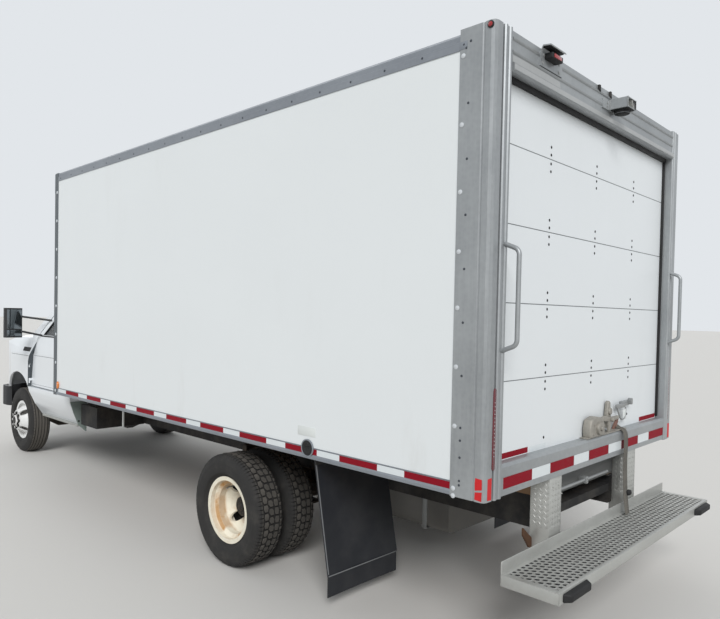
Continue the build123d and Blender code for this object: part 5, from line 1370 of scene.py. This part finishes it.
pane = {"back": -0.525, "inner": 1.164, "outer": 1.312, "low": 1.357}
for node, rider in zip(("left_mirror", "right_mirror"), doorRiders):
    softSkin(node, 0.008, 3, trimBlack, rider)
bothSides("mirror_glass", [
    box("mirror_pane", (pane["back"] - 0.0015, pane["inner"], pane["low"] + low),
        (pane["back"] + 0.003, pane["outer"], pane["low"] + high), 0.0008, start=axle)
    for low, high in ((0.095, 0.305), (0.016, 0.083))], mirrorGlass, riders=doorRiders)

rocker = {"back": -1.4725, "front": -0.560, "low": 0.494}
rockerParts = [box("rocker_strip", (rocker["back"] + 0.004, 0.900, rocker["low"] - 0.010),
                   (rocker["front"], 0.946, rocker["low"] + 0.010), 0.003, start=axle)]
rockerParts += [box("strip_rib", (rocker["back"] + 0.004, 0.9455, rocker["low"] + rise),
                    (rocker["front"], 0.9480, rocker["low"] + rise + 0.0025), start=axle)
                for rise in (-0.007, 0.0, 0.007)]
bothSides("rocker_strip", rockerParts, stepMetal)
rockerEnd = at(axle, rocker["back"] - 0.0010)
# the cab's rear end panel, grey-green with painted shade
bothSides("end_panel", plate("end_panel", flatOn("x", 0, (
    (0.850, 0.742), (1.020, 0.742), (0.984, 0.622), (0.936, 0.500), (0.862, 0.430), (0.850, 0.430)),
    rockerEnd), (-0.004, 0, 0), 0.0012), endPanelShade)
bothSides("end_holes", [drum("end_hole", at(rockerEnd, -0.0038, y, z), forward, 0.010, 0.0012, 16)
                        for y, z in ((0.897, 0.551), (0.930, 0.540), (0.873, 0.505))], softBlack)
bothSides("side_hanger", box("side_hanger", (boxX(4.042), 0.896, 0.604), (boxX(4.068), 0.906, 0.866),
                             0.002), plateWhite)
print("cab sides done")


# cab front: grille, lamps, windscreen trim and the painted panels

grille = {"half": 0.470, "low": 0.785, "high": 1.075, "bars": 5, "frameHalf": 0.486, "frameLow": 0.770,
          "frameHigh": 1.090, "frameFront": 0.677}
half, frameHalf = grille["half"], grille["frameHalf"]
frameLow, frameHigh = grille["frameLow"], grille["frameHigh"]
finished("grille_back", box("grille_back", (0.604, -half + 0.001, grille["low"] + 0.001),
                            (0.608, half - 0.001, grille["high"] - 0.001), start=axle), softBlack)
barPitch = (grille["high"] - grille["low"]) / (grille["bars"] + 1)
grilleParts = [box("grille_bar", (0.632, -half + 0.0005, grille["low"] + n * barPitch - 0.0095),
                   (0.668, half - 0.0005, grille["low"] + n * barPitch + 0.0095), 0.003, start=axle)
               for n in range(1, grille["bars"] + 1)]
grilleParts += [box("grille_post", (0.625, y - 0.004, grille["low"]), (0.655, y + 0.004, grille["high"]),
                    0.001, start=axle) for y in (-0.312, -0.156, 0, 0.156, 0.312)]
grilleParts += [box("grille_frame", (0.640, right, low), (grille["frameFront"], left, high), 0.004,
                    start=axle)
                for right, low, left, high in (
                    (-frameHalf, frameHigh - 0.022, frameHalf, frameHigh),
                    (-frameHalf, frameLow, frameHalf, frameLow + 0.022),
                    (-frameHalf, frameLow, 0.024 - frameHalf, frameHigh),
                    (frameHalf - 0.024, frameLow, frameHalf, frameHigh))]
finished("grille", grilleParts, grilleGrey)

lampLens = nodeCopy("lamps", "head_lamps")
with editing(lampLens, lambda c, n: c.x < frontAxleX):
    bpy.ops.mesh.delete(type="FACE")
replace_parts(finished("head_lamps", smooth(lampLens, 30), clearLens), "lamps")
bulbAt = (frontAxleX + 0.597, 0.640, 0.960)
reflector = [box("reflector", low, high, start=axle) for low, high in (
    ((0.592, 0.522, 0.847), (0.596, 0.758, 1.073)), ((0.596, 0.522, 0.847), (0.618, 0.525, 1.073)),
    ((0.596, 0.755, 0.847), (0.618, 0.758, 1.073)))]
bowl = spun("lamp_bowl", flatOn("y", 0, ((0, 0), (0.002, 0.030), (0.009, 0.060), (0.022, 0.085)), bulbAt),
            bulbAt, forward, 32)
bulb = dome("lamp_bulb", bulbAt, forward, 0.016, 0.018)
bothSides("lamp_reflector", reflector + [bowl, bulb], mirrorGlass)
bothSides("turn_lamp", plate("turn_lamp", flatOn("z", 0.792, (
    (0.6695, 0.530), (0.6680, 0.600), (0.6578, 0.680), (0.6482, 0.755), (0.6420, 0.755), (0.6510, 0.680),
    (0.6610, 0.600), (0.6630, 0.530)), axle), (0, 0, 0.042), 0.001), amberLens)

screenFoot = Vector((frontAxleX - 0.300, 0, 1.395))
upSlope = Vector((-0.790, 0, 0.600)).normalized()
outSlope = Vector((0.600, 0, 0.790)).normalized()


def onScreen(across, up, lift):
    return tuple(screenFoot + Vector((0, across, 0)) + upSlope * up + outSlope * lift)


screenCorners = [onScreen(across, up, -0.009) for across, up in (
    (-0.870, 0.055), (0.870, 0.055), (0.720, 0.947), (-0.720, 0.947))]
finished("screen_rubber", tube("screen_rubber", screenCorners + screenCorners[:2], 0.010, False), softBlack)
wipers = []
for pivot, tip, low, high in ((0.20, 0.52, 0.26, 0.78), (-0.48, -0.16, -0.42, 0.10)):
    armPath = [onScreen(pivot, 0.020, 0.014), onScreen(pivot + 0.04, 0.030, 0.026),
               onScreen(tip, 0.105, 0.018)]
    bladePath = [onScreen(low, 0.080, 0.006), onScreen((low + high) / 2, 0.110, 0.008),
                 onScreen(high, 0.130, 0.006)]
    wipers += [tube("wiper_arm", armPath, 0.006), tube("wiper_blade", bladePath, 0.007),
               drum("wiper_pivot", onScreen(pivot, 0.020, 0.008), tuple(outSlope), 0.016, 0.020, 16, 0.003)]
finished("wipers", wipers, softBlack)
stemPath = route(axle, ((-0.985, 0, 1.840), (-0.965, 0, 1.872))) + [onScreen(0, 0.820, -0.026)]
finished("room_mirror", [
    box("room_mirror", (-1.000, -0.120, 1.800), (-0.985, 0.120, 1.865), 0.006, 3, axle),
    tube("room_mirror_stem", stemPath, 0.006)], trimBlack)
for node, rider in (("hood", "engine_hood"), ("left_fender", "body"), ("right_fender", "body"),
                    ("front_panel", "body"), ("left_door", "left_cab_door"),
                    ("right_door", "right_cab_door"), ("cab_shell", "body")):
    softSkin(node, 0.0025, 2, cabWhite, rider)
softSkin("front_bumper", 0.010, 3, trimBlack)
softSkin("dashboard", 0.004, 2, trimBlack)
valances = [box("valance", (0.556, low, 0.575), (0.562, high, 0.735), 0.002, start=axle)
            for low, high in ((-0.800, -0.445), (-0.335, 0.335), (0.445, 0.800))]
finished("lower_valance", valances, softBlack)
noseCorner = plate("nose_corner", flatOn("z", 1.1248, (
    (0.586, 0.7085), (0.6440, 0.7035), (0.6385, 0.745), (0.6265, 0.792), (0.586, 0.850)), axle),
    (0, 0, 0.030))
with editing(noseCorner, lambda c, n: n.z > 0.9):
    pushed((0, 0, 0.026))
    bpy.ops.transform.resize(value=(0.55, 0.80, 1), center_override=(frontAxleX + 0.586, 0.7085, 1.18))
bothSides("nose_corner", bevelled(noseCorner, 0.003, 2), cabWhite)
print("cab front done")


# cab room: the seats

seat = {"inner": 0.352, "outer": 0.858, "headInset": 0.145, "baseInset": 0.040, "filled": 0.9}


def padding(name, points, edge, inset=0.0):
    # a cushion: its outline from the side, pushed across and rounded
    across = seat["outer"] - seat["inner"] - 2 * inset
    solid = plate(name, flatOn("y", seat["inner"] + inset, points, axle), (0, across, 0))
    return bevelled(solid, edge, 4)


bothSides("seat_base", box("seat_base", (-1.290, seat["inner"] + seat["baseInset"], 0.640),
                           (-0.790, seat["outer"] - seat["baseInset"], 0.735), 0.012, start=axle),
          trimBlack)
cushion = padding("seat_cushion", ((-1.270, 0.730), (-0.748, 0.735), (-0.742, 0.800), (-0.762, 0.858),
                                   (-0.830, 0.868), (-1.160, 0.848), (-1.270, 0.850)), 0.020)
backRest = padding("seat_back", ((-1.300, 0.850), (-1.168, 0.858), (-1.215, 1.100), (-1.290, 1.440),
                                 (-1.330, 1.452), (-1.376, 1.440), (-1.350, 1.150)), 0.022)
headRest = padding("seat_head", ((-1.370, 1.470), (-1.284, 1.465), (-1.276, 1.570), (-1.300, 1.632),
                                 (-1.350, 1.618), (-1.374, 1.540)), 0.018, seat["headInset"])
for stem, piece in (("seat_cushion", cushion), ("seat_back", backRest), ("seat_head", headRest)):
    for padded in bothSides(stem, piece, seatCloth):
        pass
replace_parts(bpy.data.objects["left_seat_cushion"], "seats")
stemEnds = [route(axle, ((-1.330, y, 1.430), (-1.332, y, 1.490))) for y in (0.575, 0.635)]
bothSides("seat_stems", [tube("head_stem", ends, 0.006, False, 8) for ends in stemEnds], boltMetal)
print("cab room done")


# floor, light and camera

light = {
    "sunTurn": (-0.62, 0.62, 0.62), "sunStrength": 2.3, "sunSoft": 25,
    "fillFrom": (0.7, -0.5, 0.5), "fillStrength": 0.8, "fillSoft": 60,
    "world": 0.62, "ground": shade(206, 204, 200), "sky": shade(226, 230, 234),
}
onlySelect()
bpy.ops.mesh.primitive_plane_add(size=240, location=origin)
ground = bpy.context.object
ground.name = "ground"
paint(ground, Finish("ground_plain", light["ground"], 0.9).material)


def sun(name, source, strength, soft):
    onlySelect()
    bpy.ops.object.light_add(type="SUN", location=Vector(source) * 10)
    lamp = bpy.context.object
    lamp.name = name
    lamp.rotation_mode = "QUATERNION"
    lamp.rotation_quaternion = Vector(source).to_track_quat("Z", "Y")
    lamp.data.energy = strength
    lamp.data.angle = math.radians(soft)


sun("key_light", light["sunTurn"], light["sunStrength"], light["sunSoft"])
sun("fill_light", light["fillFrom"], light["fillStrength"], light["fillSoft"])

# the sky lights the truck softly, and is brighter where the camera, metal or glass looks at it
world = bpy.data.worlds.new("studio")
bpy.context.scene.world = world
world.use_nodes = True
sky = world.node_tree
dim, bright = sky.nodes["Background"], sky.nodes.new("ShaderNodeBackground")
for node, strength in ((dim, light["world"]), (bright, 1.0)):
    node.inputs["Color"].default_value = light["sky"]
    node.inputs["Strength"].default_value = strength
rays = sky.nodes.new("ShaderNodeLightPath").outputs
looked, passed, glossy = (Wire(sky, rays[kind]) for kind in (
    "Is Camera Ray", "Is Transmission Ray", "Is Glossy Ray"))
share = sky.nodes.new("ShaderNodeMixShader")
for socket, source in zip(share.inputs, (looked.most(passed).most(glossy).socket, dim.outputs[0],
                                         bright.outputs[0])):
    sky.links.new(source, socket)
sky.links.new(share.outputs[0], sky.nodes["World Output"].inputs["Surface"])

shot = {
    "place": (-4.9776, 3.7030, 1.6837), "yaw": -0.79563, "pitch": -0.02347, "roll": 0.0203,
    "lens": 32.175, "shiftX": 0.01918, "shiftY": 0.02754,
}
ahead = Vector((math.cos(shot["pitch"]) * math.cos(shot["yaw"]),
                math.cos(shot["pitch"]) * math.sin(shot["yaw"]), math.sin(shot["pitch"])))
aside = ahead.cross(Vector(skyward)).normalized()
above = aside.cross(ahead)
cosRoll, sinRoll = math.cos(shot["roll"]), math.sin(shot["roll"])
rightward = cosRoll * aside + sinRoll * above
upward = cosRoll * above - sinRoll * aside
onlySelect()
bpy.ops.object.camera_add()
camera = bpy.context.object
camera.name = "photo_camera"
facing = Matrix((rightward, upward, -ahead)).transposed().to_4x4()
camera.matrix_world = Matrix.Translation(shot["place"]) @ facing
camera.data.lens = shot["lens"]
camera.data.sensor_width = 36
camera.data.shift_x = shot["shiftX"]
camera.data.shift_y = shot["shiftY"]
camera.data.clip_end = 500
bpy.context.scene.camera = camera
bpy.context.scene.view_settings.view_transform = "Standard"
print("light and camera set")
